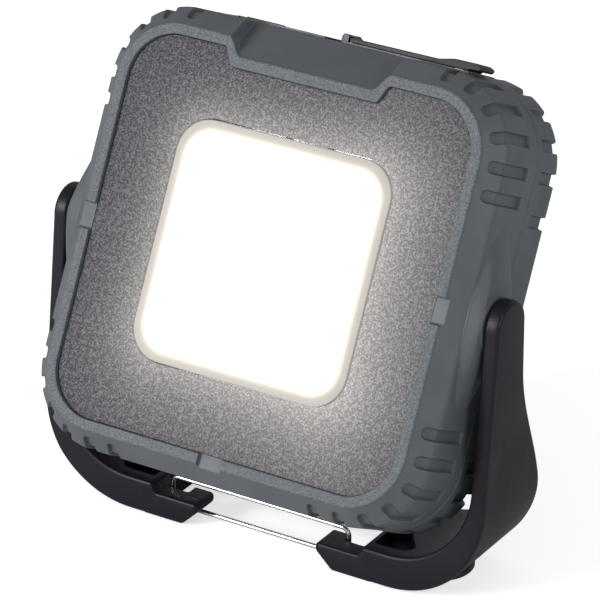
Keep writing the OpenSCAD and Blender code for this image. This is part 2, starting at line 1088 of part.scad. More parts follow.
// Waste outside a quarter circle, for rounding a corner at the origin of an outline in +X +Y
module corner_waste(r) {
  difference() {
    translate([-1, -1])
      square(r + 1);
    translate([r, r])
      circle(r);
  }
}

module finger_plan() {
  difference() {
    translate([tip_x, base_front])
      square([gap_x - tip_x + 1, tip_d]);
    translate([tip_x, base_front])
      corner_waste(4.5);
    translate([tip_x, base_front + tip_d])
      mirror([0, 1])
        corner_waste(3);
  }
}

module finger() {
  difference() {
    translate([0, 0, foot_lift])
      linear_extrude(tip_h - foot_lift)
        finger_plan();
    slab(base_front - 1, base_front + tip_d + 1)
      polygon([
        [tip_x - 1, foot_lift - 1],
        [tip_x - 1, foot_lift + tip_slope],
        [tip_x, foot_lift + tip_slope],
        [tip_x + tip_slope + 1, foot_lift - 1]
      ]);
  }
}

// Notch behind the finger where the wire's upright stands and folds back
module wire_notch() {
  w = notch_x[1] - notch_x[0];
  linear_extrude(base_h + 10)
    translate([(notch_x[0] + notch_x[1]) / 2, wire_y - notch_gap + base_d / 2])
      round_rect(w, base_d, 0.6);
}

// Snap-in groove for the wire's pivot bar, with a mouth narrower than the wire
module wire_groove() {
  translate([0, wire_y, wire_z])
    rod_x(tip_x - 1, notch_x[0] + 1, wire_r + RUN);
  box([tip_x - 1, notch_x[0] + 1], [wire_y - wire_r * 0.8, wire_y + wire_r * 0.8], [-1, wire_z]);
  box([notch_x[0] - 2.6, notch_x[0] + 1], [wire_y - wire_r - 0.5, base_front + tip_d + 1],
    [-1, wire_z + wire_bend + 1]);
}

module foot_pocket() {
  translate([0, 0, pocket_floor])
    linear_extrude(base_h + 20)
      polygon([
        [gap_x + 2, base_front + 5],
        [pad_x - 1.5, base_front + 5],
        [pad_x + 0.5, base_front + 8],
        [pad_x - 7.5, base_back - 21],
        [gap_x + 2, base_back - 14]
      ]);
}

module foot() {
  intersection() {
    translate([pad_x, pad_y, pad_top])
      cylinder(h = base_h - pad_top, r = pad_r);
    slab(base_front, base_back)
      tub(arm_out, pad_top, outer_corner, pivot_h);
  }
  translate([pad_x, pad_y, pad_top])
    cylinder(h = 6, r = pad_r);
}

module stand_frame() {
  color(BLACK)
    difference() {
      union() {
        difference() {
          intersection() {
            slab(base_front - 1, base_back + 1)
              difference() {
                tub(arm_out, foot_lift, outer_corner, pivot_h + 20);
                tub(arm_in, base_h, inner_corner, pivot_h + 40);
              }
            bar(-arm_out - 1, arm_out + 1)
              arm_side();
          }
          box([-gap_x, gap_x], [base_front - 1, base_back - beam_d], [-1, base_h + 10]);
          box([-gap_x, gap_x], [base_front - 1, base_back + 1], [beam_h, base_h + 10]);
        }
        both_sides() {
          finger();
          foot();
          translate([0, pivot_y, pivot_h])
            rod_x(stub_end, arm_in + 1, stub_r);
        }
      }
      both_sides() {
        intersection() {
          wire_notch();
          box([0, gap_x], [base_front, base_back - beam_d], [-1, base_h + 10]);
        }
        wire_groove();
        foot_pocket();
        translate([pad_x, pad_y, -1]) {
          cylinder(h = pad_top + 1, r = pad_r + FIT);
          cylinder(h = pad_top + 1 + magnet_t + FIT, r = magnet_r + SCREW);
        }
        translate([0, pivot_y, pivot_h])
          rod_x(stub_end - 1, stub_end + pivot_screw_len + 0.5, pivot_screw_r + SCREW);
      }
    }
}

module friction_rings() {
  color(RUBBER)
    both_sides()
      translate([0, pivot_y, pivot_h])
        difference() {
          rod_x(stub_end + FIT, boss_in - 0.05, washer_r - 0.3);
          rod_x(stub_end, boss_in, stub_r + 0.3);
        }
}

module pivot_washers() {
  color(STEEL)
    both_sides()
      translate([0, pivot_y, pivot_h])
        difference() {
          rod_x(stub_end - 0.02 - washer_t, stub_end - 0.02, washer_r);
          rod_x(stub_end - 5, stub_end + 1, pivot_screw_r + 0.2);
        }
}

module pivot_screws() {
  color(STEEL)
    both_sides()
      translate([0, pivot_y, pivot_h])
        difference() {
          union() {
            rod_x(stub_end - 0.04 - washer_t - pivot_head_h, stub_end - 0.04 - washer_t, pivot_head_r);
            rod_x(stub_end - washer_t - 1, stub_end + pivot_screw_len, pivot_screw_r);
          }
          translate([stub_end - washer_t - pivot_head_h - 1, 0, 0])
            rotate([0, 90, 0])
              cylinder(h = 2.2, r = 1.6, $fn = 6);
        }
}

module foot_magnets() {
  color(STEEL)
    both_sides()
      translate([pad_x, pad_y, pad_top + 0.02])
        cylinder(h = magnet_t, r = magnet_r);
}

module foot_pads() {
  color(RUBBER)
    both_sides()
      translate([pad_x, pad_y, 0])
        cylinder(h = pad_top - 0.02, r = pad_r);
}

// ---- Hanging wire ----
module wire_bend_piece() {
  rotate_extrude(angle = 90)
    translate([wire_bend, 0])
      circle(wire_r);
}

module hanging_wire() {
  color(STEEL)
    translate([bail_shift, wire_y, wire_z + bail_h / 2])
      for (k = [0, 180])
        rotate([0, k, 0]) {
          translate([0, 0, bail_h / 2])
            rod_x(-bail_w / 2 + wire_bend, bail_w / 2 - wire_bend, wire_r);
          translate([bail_w / 2, 0, wire_bend - bail_h / 2])
            cylinder(h = bail_h - 2 * wire_bend, r = wire_r);
          for (sx = [0, 1])
            mirror([sx, 0, 0])
              translate([bail_w / 2 - wire_bend, 0, bail_h / 2 - wire_bend])
                rotate([90, 0, 0])
                  wire_bend_piece();
        }
}

// ---- Parts ----
front_housing();
rear_housing();
housing_gasket();
housing_screws();
front_panel();
window_lens();
lens_gasket();
reflector();
led_board();
led_chip();
led_screws();
thermal_pad();
heat_sink();
heat_sink_screws();
battery_cradle();
battery_cells();
cell_straps();
cradle_screws();
battery_leads();
main_circuit_board();
board_screws();
usb_c_socket();
usb_a_socket();
push_switch();
led_leads();
charge_indicators();
control_strip();
power_button();
port_frame();
flap_pin();
port_flap();
stand_frame();
friction_rings();
pivot_washers();
pivot_screws();
foot_magnets();
foot_pads();
hanging_wire();
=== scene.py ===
"""Work light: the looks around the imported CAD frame.

Shapes are worked out in millimetres. Pieces of the lamp head are drawn in the head's own frame
(X right, Y into the depth, Z up its face, origin on the tilt axis), the stand's in the ground's
frame, whose origin lies under the middle of the light.
"""
import json
import math

import bmesh
import bpy
import numpy as np
from mathutils import Matrix, Vector


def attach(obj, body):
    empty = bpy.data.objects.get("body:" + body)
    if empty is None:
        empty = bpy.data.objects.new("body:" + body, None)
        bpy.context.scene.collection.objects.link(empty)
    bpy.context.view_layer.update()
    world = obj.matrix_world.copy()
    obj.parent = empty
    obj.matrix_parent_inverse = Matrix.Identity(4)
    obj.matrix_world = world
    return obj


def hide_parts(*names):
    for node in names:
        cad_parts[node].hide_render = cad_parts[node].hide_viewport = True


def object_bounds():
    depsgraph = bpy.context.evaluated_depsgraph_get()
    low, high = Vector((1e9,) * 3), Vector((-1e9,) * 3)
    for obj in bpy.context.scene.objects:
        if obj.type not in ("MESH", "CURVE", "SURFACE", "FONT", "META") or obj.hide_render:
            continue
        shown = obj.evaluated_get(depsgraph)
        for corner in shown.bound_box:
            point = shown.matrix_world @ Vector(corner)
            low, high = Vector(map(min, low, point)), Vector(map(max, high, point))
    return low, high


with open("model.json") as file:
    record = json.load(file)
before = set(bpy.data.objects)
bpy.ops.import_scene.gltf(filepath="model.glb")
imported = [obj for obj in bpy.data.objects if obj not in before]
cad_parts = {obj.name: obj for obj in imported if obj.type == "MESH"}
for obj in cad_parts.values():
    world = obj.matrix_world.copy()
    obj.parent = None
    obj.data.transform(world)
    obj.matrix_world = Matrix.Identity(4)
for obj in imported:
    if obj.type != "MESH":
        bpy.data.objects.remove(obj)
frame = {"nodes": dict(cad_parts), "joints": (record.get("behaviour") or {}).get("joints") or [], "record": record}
cad_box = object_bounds()
MM = 0.001

# ---------------------------------------------------------------- the frame's places
joints = {j["name"]: j for j in frame["joints"]}
head_up = -Vector(joints["power_press"]["axis"]).normalized()
head_x = Vector((1, 0, 0))
head_deep = head_up.cross(head_x)
HEAD = Matrix.Translation(Vector(joints["head_tilt"]["pos_m"])) @ Matrix(
    (head_x, head_deep, head_up)
).transposed().to_4x4()
GROUND = Matrix.Identity(4)


def local_box(node, matrix):
    """Lowest and highest corner of a CAD node in the given frame, in millimetres."""
    inverse = matrix.inverted()
    points = np.array([inverse @ v.co for v in frame["nodes"][node].data.vertices]) / MM
    return points.min(0), points.max(0)


def head_box(node):
    """Lowest and highest corner of a CAD node in the head's frame, in millimetres."""
    return local_box(node, HEAD)


panel_lo, panel_hi = head_box("front_panel")
lens_hi = head_box("window_lens")[1]
front_lo, front_hi = head_box("front_housing")
rear_hi = head_box("rear_housing")[1]
strip_lo, strip_hi = head_box("control_strip")
frame_lo, frame_hi = head_box("port_frame")
flap_lo, flap_hi = head_box("port_flap")
pin_lo, pin_hi = head_box("flap_pin")
stand_lo, stand_hi = local_box("stand_frame", GROUND)
wire_lo, wire_hi = local_box("hanging_wire", GROUND)
pad_lo, pad_hi = local_box("foot_pads", GROUND)

CORNER_R = 27.5                         # corner radius of the head at its widest
RIM_W = 3.4
BEVEL_D = 7.0
SIDE_DRAFT = 0.4                        # the sides lean in this much towards the bevel
WALL = 2.6
HALF = -front_lo[2]                     # half width of the square head
CORNER = HALF - CORNER_R                # the corner centres
Y_RIM = front_lo[1]
Y_PART = front_hi[1]
Y_BACK = rear_hi[1]
Y_PANEL = panel_lo[1]
Y_SEAT = panel_hi[1]
PANEL_GAP = 0.1
PANEL_HALF = panel_hi[0] + PANEL_GAP
RIM_HALF = PANEL_HALF + RIM_W
SIDE_HALF = HALF - SIDE_DRAFT
Y_SIDE = Y_RIM + BEVEL_D
LENS_HALF = lens_hi[0]
LENS_R = 12
LIT_INSET = 3.8                         # the lit area ends this far inside the lens
LIT_R_INSET = 2.4                       # its corner radius is this much smaller
LIT_LEVEL = 5.0
FRINGE = 0.0011                         # metres over which the warm fringe fades
GREY = (0.088, 0.099, 0.112, 1.0)


def smooth(t):
    """An S-shaped step from 0 to 1."""
    t = np.clip(t, 0, 1)
    return t * t * (3 - 2 * t)


def mix(a, b, t):
    """The value a fraction t of the way from a to b."""
    return a + (b - a) * t


# ---------------------------------------------------------------- meshes
def mesh_object(name, verts, faces, matrix, sharp=35):
    """An object from points in millimetres, smooth except at edges sharper than the angle."""
    mesh = bpy.data.meshes.new(name)
    mesh.from_pydata([tuple(float(c) * MM for c in v) for v in verts], [], faces)
    mesh.validate()
    obj = bpy.data.objects.new(name, mesh)
    bpy.context.scene.collection.objects.link(obj)
    obj.matrix_world = matrix
    clean(mesh)
    shade(mesh, sharp)
    return obj


def clean(mesh):
    """Outward normals, no doubled points."""
    bm = bmesh.new()
    bm.from_mesh(mesh)
    bmesh.ops.remove_doubles(bm, verts=bm.verts, dist=1e-6)
    bmesh.ops.recalc_face_normals(bm, faces=bm.faces)
    bm.to_mesh(mesh)
    bm.free()


def shade(mesh, sharp):
    """Smooth shading, with hard edges where faces meet at more than the angle."""
    for p in mesh.polygons:
        p.use_smooth = True
    mesh.set_sharp_from_angle(angle=math.radians(sharp))


def dress(obj, material, body, slot, *nodes):
    """Material, body and the CAD nodes that the piece stands for."""
    obj.data.materials.clear()
    obj.data.materials.append(material)
    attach(obj, body)
    if nodes:
        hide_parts(*nodes)
    return obj


def loops_to_mesh(grid, closed_rows, caps):
    """Faces between rows of points; each row is a closed loop."""
    rows, cols = grid.shape[:2]
    verts = grid.reshape(-1, 3)
    faces = []
    for i in range(rows if closed_rows else rows - 1):
        a, b = i * cols, ((i + 1) % rows) * cols
        faces += [(a + j, a + (j + 1) % cols, b + (j + 1) % cols, b + j) for j in range(cols)]
    if caps:
        faces.append(tuple(range(cols)))
        faces.append(tuple((rows - 1) * cols + j for j in reversed(range(cols))))
    return verts, faces


def lathe(name, profile, axis_at, matrix, steps=64, sharp=35):
    """A closed (distance along X, radius) profile turned about the X direction through axis_at."""
    angles = np.linspace(0, 2 * math.pi, steps, endpoint=False)
    grid = np.array([
        [(axis_at[0] + x, axis_at[1] + r * math.cos(a), axis_at[2] + r * math.sin(a)) for x, r in profile]
        for a in angles
    ])
    verts, faces = loops_to_mesh(grid, True, False)
    return mesh_object(name, verts, faces, matrix, sharp)


def fillet(points, radii, closed=False, steps=5):
    """A polyline (2-D or 3-D) with its corners rounded by the given radii."""
    pts = np.array(points, float)
    n = len(pts)
    out = []
    for i in range(n):
        r = radii[i]
        if (not closed and i in (0, n - 1)) or r <= 0:
            out.append([pts[i]] * (steps + 1) if r < 0 else [pts[i]])
            continue
        before, after = pts[i - 1] - pts[i], pts[(i + 1) % n] - pts[i]
        la, lb = np.linalg.norm(before), np.linalg.norm(after)
        a, b = before / la, after / lb
        cosine = float(np.clip(np.dot(a, b), -1, 1))
        half_angle = math.acos(cosine) / 2
        reach = min(r / max(math.tan(half_angle), 1e-4), 0.48 * la, 0.48 * lb)
        p0, p2 = pts[i] + a * reach, pts[i] + b * reach
        weight = math.sin(half_angle)
        arc = []
        for k in range(steps + 1):
            t = k / steps
            w0, w1, w2 = (1 - t) ** 2, 2 * t * (1 - t) * weight, t * t
            arc.append((w0 * p0 + w1 * pts[i] + w2 * p2) / (w0 + w1 + w2))
        out.append(arc)
    return out


def flat(parts):
    """The points of all parts in one array."""
    return np.array([p for part in parts for p in part])


def add_loop(curve, points):
    """Adds a closed run of straight stretches to a curve."""
    spline = curve.splines.new("POLY")
    spline.points.add(len(points) - 1)
    for point, (x, y, z) in zip(spline.points, points):
        point.co = (x, y, z, 1)
    spline.use_cyclic_u = True


def curve_solid(name, curve):
    """Points and faces of the solid that a curve describes; the curve is removed."""
    source = bpy.data.objects.new(name + "_curve", curve)
    bpy.context.scene.collection.objects.link(source)
    mesh = bpy.data.meshes.new_from_object(source)
    verts = [v.co.copy() for v in mesh.vertices]
    faces = [tuple(p.vertices) for p in mesh.polygons]
    bpy.data.objects.remove(source)
    bpy.data.curves.remove(curve)
    return verts, faces


def plate(name, outlines, low, high, edge, matrix, plane="XZ", sharp=35):
    """A flat solid with rounded edges. Outlines are closed loops; those inside another are holes.

    The outlines lie in the plane, and the low and high faces are places on the third axis.
    """
    curve = bpy.data.curves.new(name, "CURVE")
    curve.dimensions = "2D"
    curve.fill_mode = "BOTH"
    curve.extrude = (high - low) / 2 - edge
    curve.bevel_depth = edge
    curve.bevel_resolution = 2
    curve.offset = -edge
    for outline in outlines:
        add_loop(curve, [(a, b, 0) for a, b in outline])
    verts, faces = curve_solid(name, curve)
    middle = (low + high) / 2
    if plane == "XZ":
        verts = [(v.x, middle + v.z, v.y) for v in verts]
    else:
        verts = [(middle + v.z, v.x, v.y) for v in verts]
    return mesh_object(name, verts, faces, matrix, sharp)


def circle(cx, cy, radius, steps=64):
    """Closed outline of a circle."""
    return [(cx + radius * math.cos(a), cy + radius * math.sin(a))
            for a in np.linspace(0, 2 * math.pi, steps, endpoint=False)]


def round_rect(cx, cy, hx, hy, r, steps=8):
    """Closed outline of a rectangle with round corners."""
    out = []
    for k in range(4):
        sx, sy = ((1, 1), (-1, 1), (-1, -1), (1, -1))[k]
        for j in range(steps + 1):
            a = math.radians(90 * k + 90 * j / steps)
            out.append((cx + sx * (hx - r) + r * math.cos(a), cy + sy * (hy - r) + r * math.sin(a)))
    return out


def prism(name, outline, low, high, matrix, sharp=35):
    """A flat outline in X and Y made solid between two heights."""
    rows = np.array([[(x, y, z) for x, y in outline] for z in (low, high)])
    verts, faces = loops_to_mesh(rows, False, True)
    return mesh_object(name, verts, faces, matrix, sharp)


def tube(name, points, radius, matrix):
    """A round wire through points that close on themselves."""
    curve = bpy.data.curves.new(name, "CURVE")
    curve.dimensions = "3D"
    curve.bevel_depth = radius
    curve.bevel_resolution = 5
    add_loop(curve, points)
    verts, faces = curve_solid(name, curve)
    return mesh_object(name, verts, faces, matrix, 60)


def boolean(obj, other, operation):
    """Applies an exact boolean and removes the other object."""
    m = obj.modifiers.new("cut", "BOOLEAN")
    m.object = other
    m.operation = operation
    m.solver = "EXACT"
    apply_modifiers(obj)
    bpy.data.objects.remove(other)


def apply_modifiers(obj, sharp=35):
    """Makes the modifiers' result the object's own mesh."""
    bpy.context.view_layer.update()
    depsgraph = bpy.context.evaluated_depsgraph_get()
    mesh = bpy.data.meshes.new_from_object(obj.evaluated_get(depsgraph))
    obj.modifiers.clear()
    obj.data = mesh
    shade(mesh, sharp)


# ---------------------------------------------------------------- materials
class Graph:
    """A material's node tree with short calls for its nodes."""

    def __init__(self, name):
        self.material = bpy.data.materials.new(name)
        self.material.use_nodes = True
        self.tree = self.material.node_tree
        self.shader = self.tree.nodes["Principled BSDF"]
        self.place = self.add("ShaderNodeTexCoord").outputs["Object"]

    def add(self, kind, settings=None, **inputs):
        node = self.tree.nodes.new(kind)
        for key, value in (settings or {}).items():
            setattr(node, key, value)
        for key, value in inputs.items():
            self.put(node.inputs[key.replace("_", " ")], value)
        return node

    def put(self, socket, value):
        if isinstance(value, bpy.types.NodeSocket):
            self.tree.links.new(value, socket)
        else:
            socket.default_value = value

    def set(self, **inputs):
        for key, value in inputs.items():
            self.put(self.shader.inputs[key.replace("_", " ")], value)

    def math(self, operation, a, b=0.0, clamp=False):
        node = self.add("ShaderNodeMath", {"operation": operation, "use_clamp": clamp})
        self.put(node.inputs[0], a)
        self.put(node.inputs[1], b)
        return node.outputs[0]

    def noise(self, scale, detail=4.0, roughness=0.5):
        """Noise with the given number of cells per metre."""
        node = self.add("ShaderNodeTexNoise", Vector=self.place, Scale=scale, Detail=detail,
                        Roughness=roughness)
        return node.outputs["Fac"]

    def ramp(self, value, low, high, out_low=0.0, out_high=1.0):
        node = self.add("ShaderNodeMapRange", {"interpolation_type": "SMOOTHSTEP"}, Value=value)
        for key, v in (("From Min", low), ("From Max", high), ("To Min", out_low), ("To Max", out_high)):
            self.put(node.inputs[key], v)
        return node.outputs["Result"]

    def mix(self, factor, a, b):
        node = self.add("ShaderNodeMix", {"data_type": "RGBA"})
        self.put(node.inputs["Factor"], factor)
        self.put(node.inputs["A"], a)
        self.put(node.inputs["B"], b)
        return node.outputs["Result"]

    def bump(self, height, strength, distance, normal=None):
        node = self.add("ShaderNodeBump", Height=height, Strength=strength, Distance=distance)
        if normal is not None:
            self.put(node.inputs["Normal"], normal)
        return node.outputs["Normal"]

    def box_distance(self, half, radius):
        """Distance in metres outside a rounded square in the X-Z plane, centred on the origin."""
        xyz = self.add("ShaderNodeSeparateXYZ", Vector=self.place)
        qx = self.math("SUBTRACT", self.math("ABSOLUTE", xyz.outputs["X"]), half - radius)
        qz = self.math("SUBTRACT", self.math("ABSOLUTE", xyz.outputs["Z"]), half - radius)
        px = self.math("MAXIMUM", qx, 0.0)
        pz = self.math("MAXIMUM", qz, 0.0)
        squares = self.math("ADD", self.math("MULTIPLY", px, px), self.math("MULTIPLY", pz, pz))
        outside = self.math("SQRT", squares)
        inside = self.math("MINIMUM", self.math("MAXIMUM", qx, qz), 0.0)
        return self.math("SUBTRACT", self.math("ADD", outside, inside), radius)


def rgb(r, g, b):
    return (r, g, b, 1.0)


def scaled(colour, k):
    return rgb(*(c * k for c in colour[:3]))


def plastic(name, colour, rough, grain, grain_depth, worn=0.25, coat=0.0, specular=0.5):
    """Moulded plastic: fine spark-eroded grain, soft mottling and edges polished by handling."""
    g = Graph(name)
    mottle = g.ramp(g.noise(60.0, 3.0), 0.3, 0.7)
    base = g.mix(mottle, scaled(colour, 0.92), scaled(colour, 1.08))
    edge = g.add("ShaderNodeNewGeometry").outputs["Pointiness"]
    scuffs = g.math("MULTIPLY", g.ramp(edge, 0.52, 0.60), g.ramp(g.noise(220.0, 6.0), 0.40, 0.62))
    base = g.mix(g.math("MULTIPLY", scuffs, worn), base, scaled(colour, 1.9))
    fine = g.noise(grain, 2.0, 0.6)
    smudge = g.ramp(g.noise(35.0, 5.0, 0.65), 0.35, 0.7, rough - 0.05, rough + 0.06)
    g.set(
        Base_Color=base,
        Roughness=smudge,
        Specular_IOR_Level=specular,
        Normal=g.bump(fine, 0.5, grain_depth),
        Coat_Weight=coat,
        Coat_Roughness=0.25,
    )
    return g.material


def metal(name, colour, rough, stretch=(1.0, 1.0, 1.0)):
    """Metal with fine drawn or brushed lines and slight staining."""
    g = Graph(name)
    mapped = g.add("ShaderNodeMapping", Vector=g.place, Scale=stretch)
    drawn = g.add("ShaderNodeTexNoise", Vector=mapped.outputs["Vector"], Scale=900.0, Detail=3.0)
    lines = drawn.outputs["Fac"]
    stain = g.ramp(g.noise(90.0, 5.0), 0.35, 0.75)
    g.set(
        Base_Color=g.mix(stain, colour, scaled(colour, 0.8)),
        Metallic=1.0,
        Roughness=g.ramp(lines, 0.3, 0.7, rough * 0.8, rough * 1.25),
        Normal=g.bump(lines, 0.12, 0.0002),
    )
    return g.material


def rubber(name, colour):
    """Matt rubber with a trace of dust in its grain."""
    g = Graph(name)
    dust = g.ramp(g.noise(150.0, 6.0, 0.7), 0.45, 0.8)
    g.set(
        Base_Color=g.mix(dust, colour, scaled(colour, 1.5)),
        Roughness=g.ramp(dust, 0.0, 1.0, 0.55, 0.75),
        Normal=g.bump(g.noise(2200.0, 2.0), 0.35, 0.0001),
    )
    return g.material


def panel_material():
    """Dark spark-eroded face plate; a painted glow stands for light from the window spilling over it, most to the
    lower right.
    """
    g = Graph("panel_grain_painted_spill")
    fine = g.noise(1500.0, 2.0, 0.6)
    coarse = g.noise(620.0, 2.0, 0.5)
    grain = g.math("ADD", g.math("MULTIPLY", fine, 0.7), g.math("MULTIPLY", coarse, 0.3))
    peaks = g.ramp(grain, 0.42, 0.62)
    base = g.mix(peaks, rgb(0.020, 0.017, 0.026), rgb(0.100, 0.094, 0.112))
    # Painted light: an emitted glow that fades away from the window stands for its light spilling over the plate,
    # wider and brighter to the lower right.
    away = g.math("MAXIMUM", g.box_distance(LENS_HALF * MM, LENS_R * MM), 0.0)
    xyz = g.add("ShaderNodeSeparateXYZ", Vector=g.place)
    rightward = g.math("MULTIPLY", xyz.outputs["X"], 14.0)
    upward = g.math("MULTIPLY", xyz.outputs["Z"], 7.0)
    slant = g.math("SUBTRACT", rightward, upward)
    slant = g.math("MINIMUM", g.math("MAXIMUM", slant, -1.0), 1.0)
    reach = g.math("ADD", g.math("MULTIPLY", slant, 0.0042), 0.0112)
    level = g.math("ADD", g.math("MULTIPLY", slant, 0.13), 0.36)
    painted_spill = g.math("EXPONENT", g.math("MULTIPLY", g.math("DIVIDE", away, reach), -1.0))
    painted_spill = g.math("MULTIPLY", g.math("MULTIPLY", painted_spill, level), g.ramp(peaks, 0.0, 1.0, 0.78, 1.22))
    g.set(
        Base_Color=base,
        Roughness=g.ramp(peaks, 0.0, 1.0, 0.62, 0.42),
        Normal=g.bump(grain, 0.9, 0.0005),
        Emission_Color=rgb(1.0, 0.95, 0.88),
        Emission_Strength=painted_spill,
    )
    return g.material


def lens_material():
    """Frosted window: blown out where it is lit, a warm fringe, then a border that fades outwards."""
    g = Graph("lens_lit")
    away = g.box_distance((LENS_HALF - LIT_INSET) * MM, (LENS_R - LIT_R_INSET) * MM)
    fade = g.math("EXPONENT", g.math("MULTIPLY", g.math("MAXIMUM", away, 0.0), -1.0 / FRINGE))
    outside = g.ramp(away, -0.0006, 0.0003)
    frost = g.ramp(g.noise(700.0, 4.0, 0.6), 0.3, 0.7, 0.96, 1.04)
    border = g.mix(fade, rgb(1.0, 0.91, 0.78), rgb(1.0, 0.80, 0.47))
    colour = g.mix(outside, rgb(1.0, 0.97, 0.92), border)
    glow = g.ramp(fade, 0.0, 1.0, 0.13, 0.98)
    level = g.ramp(outside, 0.0, 1.0, LIT_LEVEL, 0.0)
    level = g.math("ADD", level, g.math("MULTIPLY", glow, outside))
    g.set(
        Base_Color=rgb(0.34, 0.32, 0.30),
        Roughness=0.35,
        Normal=g.bump(g.noise(1800.0, 2.0), 0.2, 0.00008),
        Emission_Color=colour,
        Emission_Strength=g.math("MULTIPLY", level, frost),
    )
    return g.material


def housing_material():
    """Grey moulded shell: smooth satin sides, and a coarser, paler rim, partly from the mould's texture and partly
    painted light on its front-facing face.
    """
    g = Graph("housing_grey")
    mottle = g.ramp(g.noise(60.0, 3.0), 0.3, 0.7)
    base = g.mix(mottle, scaled(GREY, 0.93), scaled(GREY, 1.07))
    depth = g.add("ShaderNodeSeparateXYZ", Vector=g.place).outputs["Y"]
    # The front-facing rim is painted 1.25 times paler with speckles: partly the textured finish, partly painted
    # light where the light falls on that face.
    rim = g.ramp(depth, (Y_RIM + 0.15) * MM, (Y_RIM + 0.75) * MM, 1.0, 0.0)
    grain = g.noise(1700.0, 2.0, 0.6)
    speck = g.ramp(grain, 0.35, 0.65, 0.75, 1.3)
    pale = g.add("ShaderNodeMix", {"data_type": "RGBA", "blend_type": "MULTIPLY"})
    for key, value in (("Factor", 1.0), ("A", scaled(GREY, 1.25)), ("B", speck)):
        g.put(pale.inputs[key], value)
    base = g.mix(rim, base, pale.outputs["Result"])
    edge = g.add("ShaderNodeNewGeometry").outputs["Pointiness"]
    scuffs = g.math("MULTIPLY", g.ramp(edge, 0.515, 0.57), g.ramp(g.noise(260.0, 6.0), 0.35, 0.6))
    base = g.mix(g.math("MULTIPLY", scuffs, 0.30), base, scaled(GREY, 2.0))
    fine = g.noise(2600.0, 2.0, 0.6)
    rough = g.ramp(g.noise(35.0, 5.0, 0.65), 0.35, 0.7, 0.44, 0.56)
    soft = g.bump(fine, 0.35, 0.0001)
    g.set(
        Base_Color=base,
        Roughness=rough,
        Specular_IOR_Level=0.42,
        Normal=g.bump(g.math("MULTIPLY", grain, rim), 0.7, 0.0005, soft),
    )
    return g.material


grey_plastic = housing_material()
black_plastic = plastic("stand_black", rgb(0.0075, 0.0050, 0.0115), 0.42, 2600.0, 0.00008, 0.12,
                        specular=0.28)
trim_plastic = plastic("trim_black", rgb(0.010, 0.009, 0.013), 0.42, 2600.0, 0.00008, 0.10)
black_rubber = rubber("rubber_black", rgb(0.020, 0.019, 0.022))
wire_metal = metal("wire_bright", rgb(0.78, 0.75, 0.71), 0.22, (0.15, 1.0, 1.0))
panel_plastic = panel_material()
lens_plastic = lens_material()
clear_plastic = plastic("light_pipe", rgb(0.55, 0.60, 0.62), 0.15, 1500.0, 0.00003, 0.0, 0.6)

CLASS_MATERIALS = {
    "steel": metal("steel_zinc", rgb(0.62, 0.61, 0.58), 0.32),
    "wire_steel": wire_metal,
    "magnet_nickel": metal("magnet_nickel", rgb(0.66, 0.64, 0.60), 0.2),
    "sink_aluminium": metal("sheet_aluminium", rgb(0.80, 0.81, 0.82), 0.35, (0.05, 1.0, 1.0)),
    "strap_nickel": metal("strip_nickel", rgb(0.70, 0.68, 0.63), 0.28, (1.0, 1.0, 0.1)),
    "board_white": plastic("board_white", rgb(0.80, 0.80, 0.80), 0.4, 1800.0, 0.00004),
    "board_green": plastic("board_green", rgb(0.02, 0.16, 0.07), 0.3, 1800.0, 0.00004, 0.1, 0.5),
    "phosphor": rubber("phosphor", rgb(0.85, 0.62, 0.15)),
    "reflector_white": plastic("reflector_white", rgb(0.85, 0.85, 0.83), 0.25, 1600.0, 0.00003),
    "thermal_grey": rubber("thermal_pad", rgb(0.30, 0.32, 0.34)),
    "cell_blue": plastic("cell_wrap", rgb(0.04, 0.18, 0.36), 0.28, 1500.0, 0.00003, 0.1, 0.4),
    "lead_red": rubber("lead_red", rgb(0.45, 0.02, 0.02)),
    "lead_white": rubber("lead_white", rgb(0.70, 0.70, 0.66)),
    "pipe_clear": clear_plastic,
    "housing_grey": grey_plastic,
    "panel_dark": panel_plastic,
    "stand_black": black_plastic,
    "trim_black": trim_plastic,
    "rubber_black": black_rubber,
    "lens_frosted": lens_plastic,
}
pin_material = metal("pin_blackened", rgb(0.03, 0.03, 0.035), 0.35)
for entry in frame["record"]["subparts"]:
    node = frame["nodes"][entry["node"]]
    node.data.materials.clear()
    finish = pin_material if entry["node"] == "flap_pin" else CLASS_MATERIALS[entry["material_slot"]]
    node.data.materials.append(finish)

SIDE_NAMES = {-1: "left", 1: "right"}

# ---------------------------------------------------------------- head shells
SLOT_HALF = 2.1                         # half width of a grip slot
SLOT_D = 1.4
NOTCH_D = 1.5
SLOT_STEP = 9.5                         # from a corner's start to the slot on the straight side
NOTCH_STEP = 14.5
SLOT_ANGLES = (0.0, 22.5, 45.0, 67.5, 90.0)
ACROSS = (0.0, 0.9, 1.45, 1.7, 1.85, 2.0, 2.12, 2.3, 2.9)  # places across a slot, from its middle
NO_SLOT = 99.0                          # stands for a place away from every slot
FAR = 99.0                              # stands for a place outside the dip
FAN_R = 17.0                            # below this radius the stations fan out from the corner centre
NORMALS = [np.array(n, float) for n in ((1, 0), (0, -1), (-1, 0), (0, 1))]
TANGENTS = [np.array(t, float) for t in ((0, -1), (-1, 0), (0, 1), (1, 0))]
TOP = 3


def straight_stations(side, slots, extra):
    """Places along one side: clusters across each slot, extra places, and fill between them."""
    places = {}
    for s in slots:
        for q in ACROSS:
            for sign in (-1, 1):
                places[round(s + sign * q, 4)] = sign * q
    for u in extra:
        if all(abs(u - s) > ACROSS[-1] for s in slots):
            places.setdefault(round(u, 4), NO_SLOT)
    for end in (-CORNER, CORNER):
        for q in ACROSS:
            u = end + (q if end < 0 else -q)
            places[round(u, 4)] = u - end
    for u in np.arange(-44, 45, 4.0):
        if all(abs(u - p) > 1.5 for p in places):
            places[round(float(u), 4)] = NO_SLOT
    inside = [(u, q) for u, q in sorted(places.items()) if -CORNER - 1e-6 <= u <= CORNER + 1e-6]
    return [("straight", side, u, q) for u, q in inside]


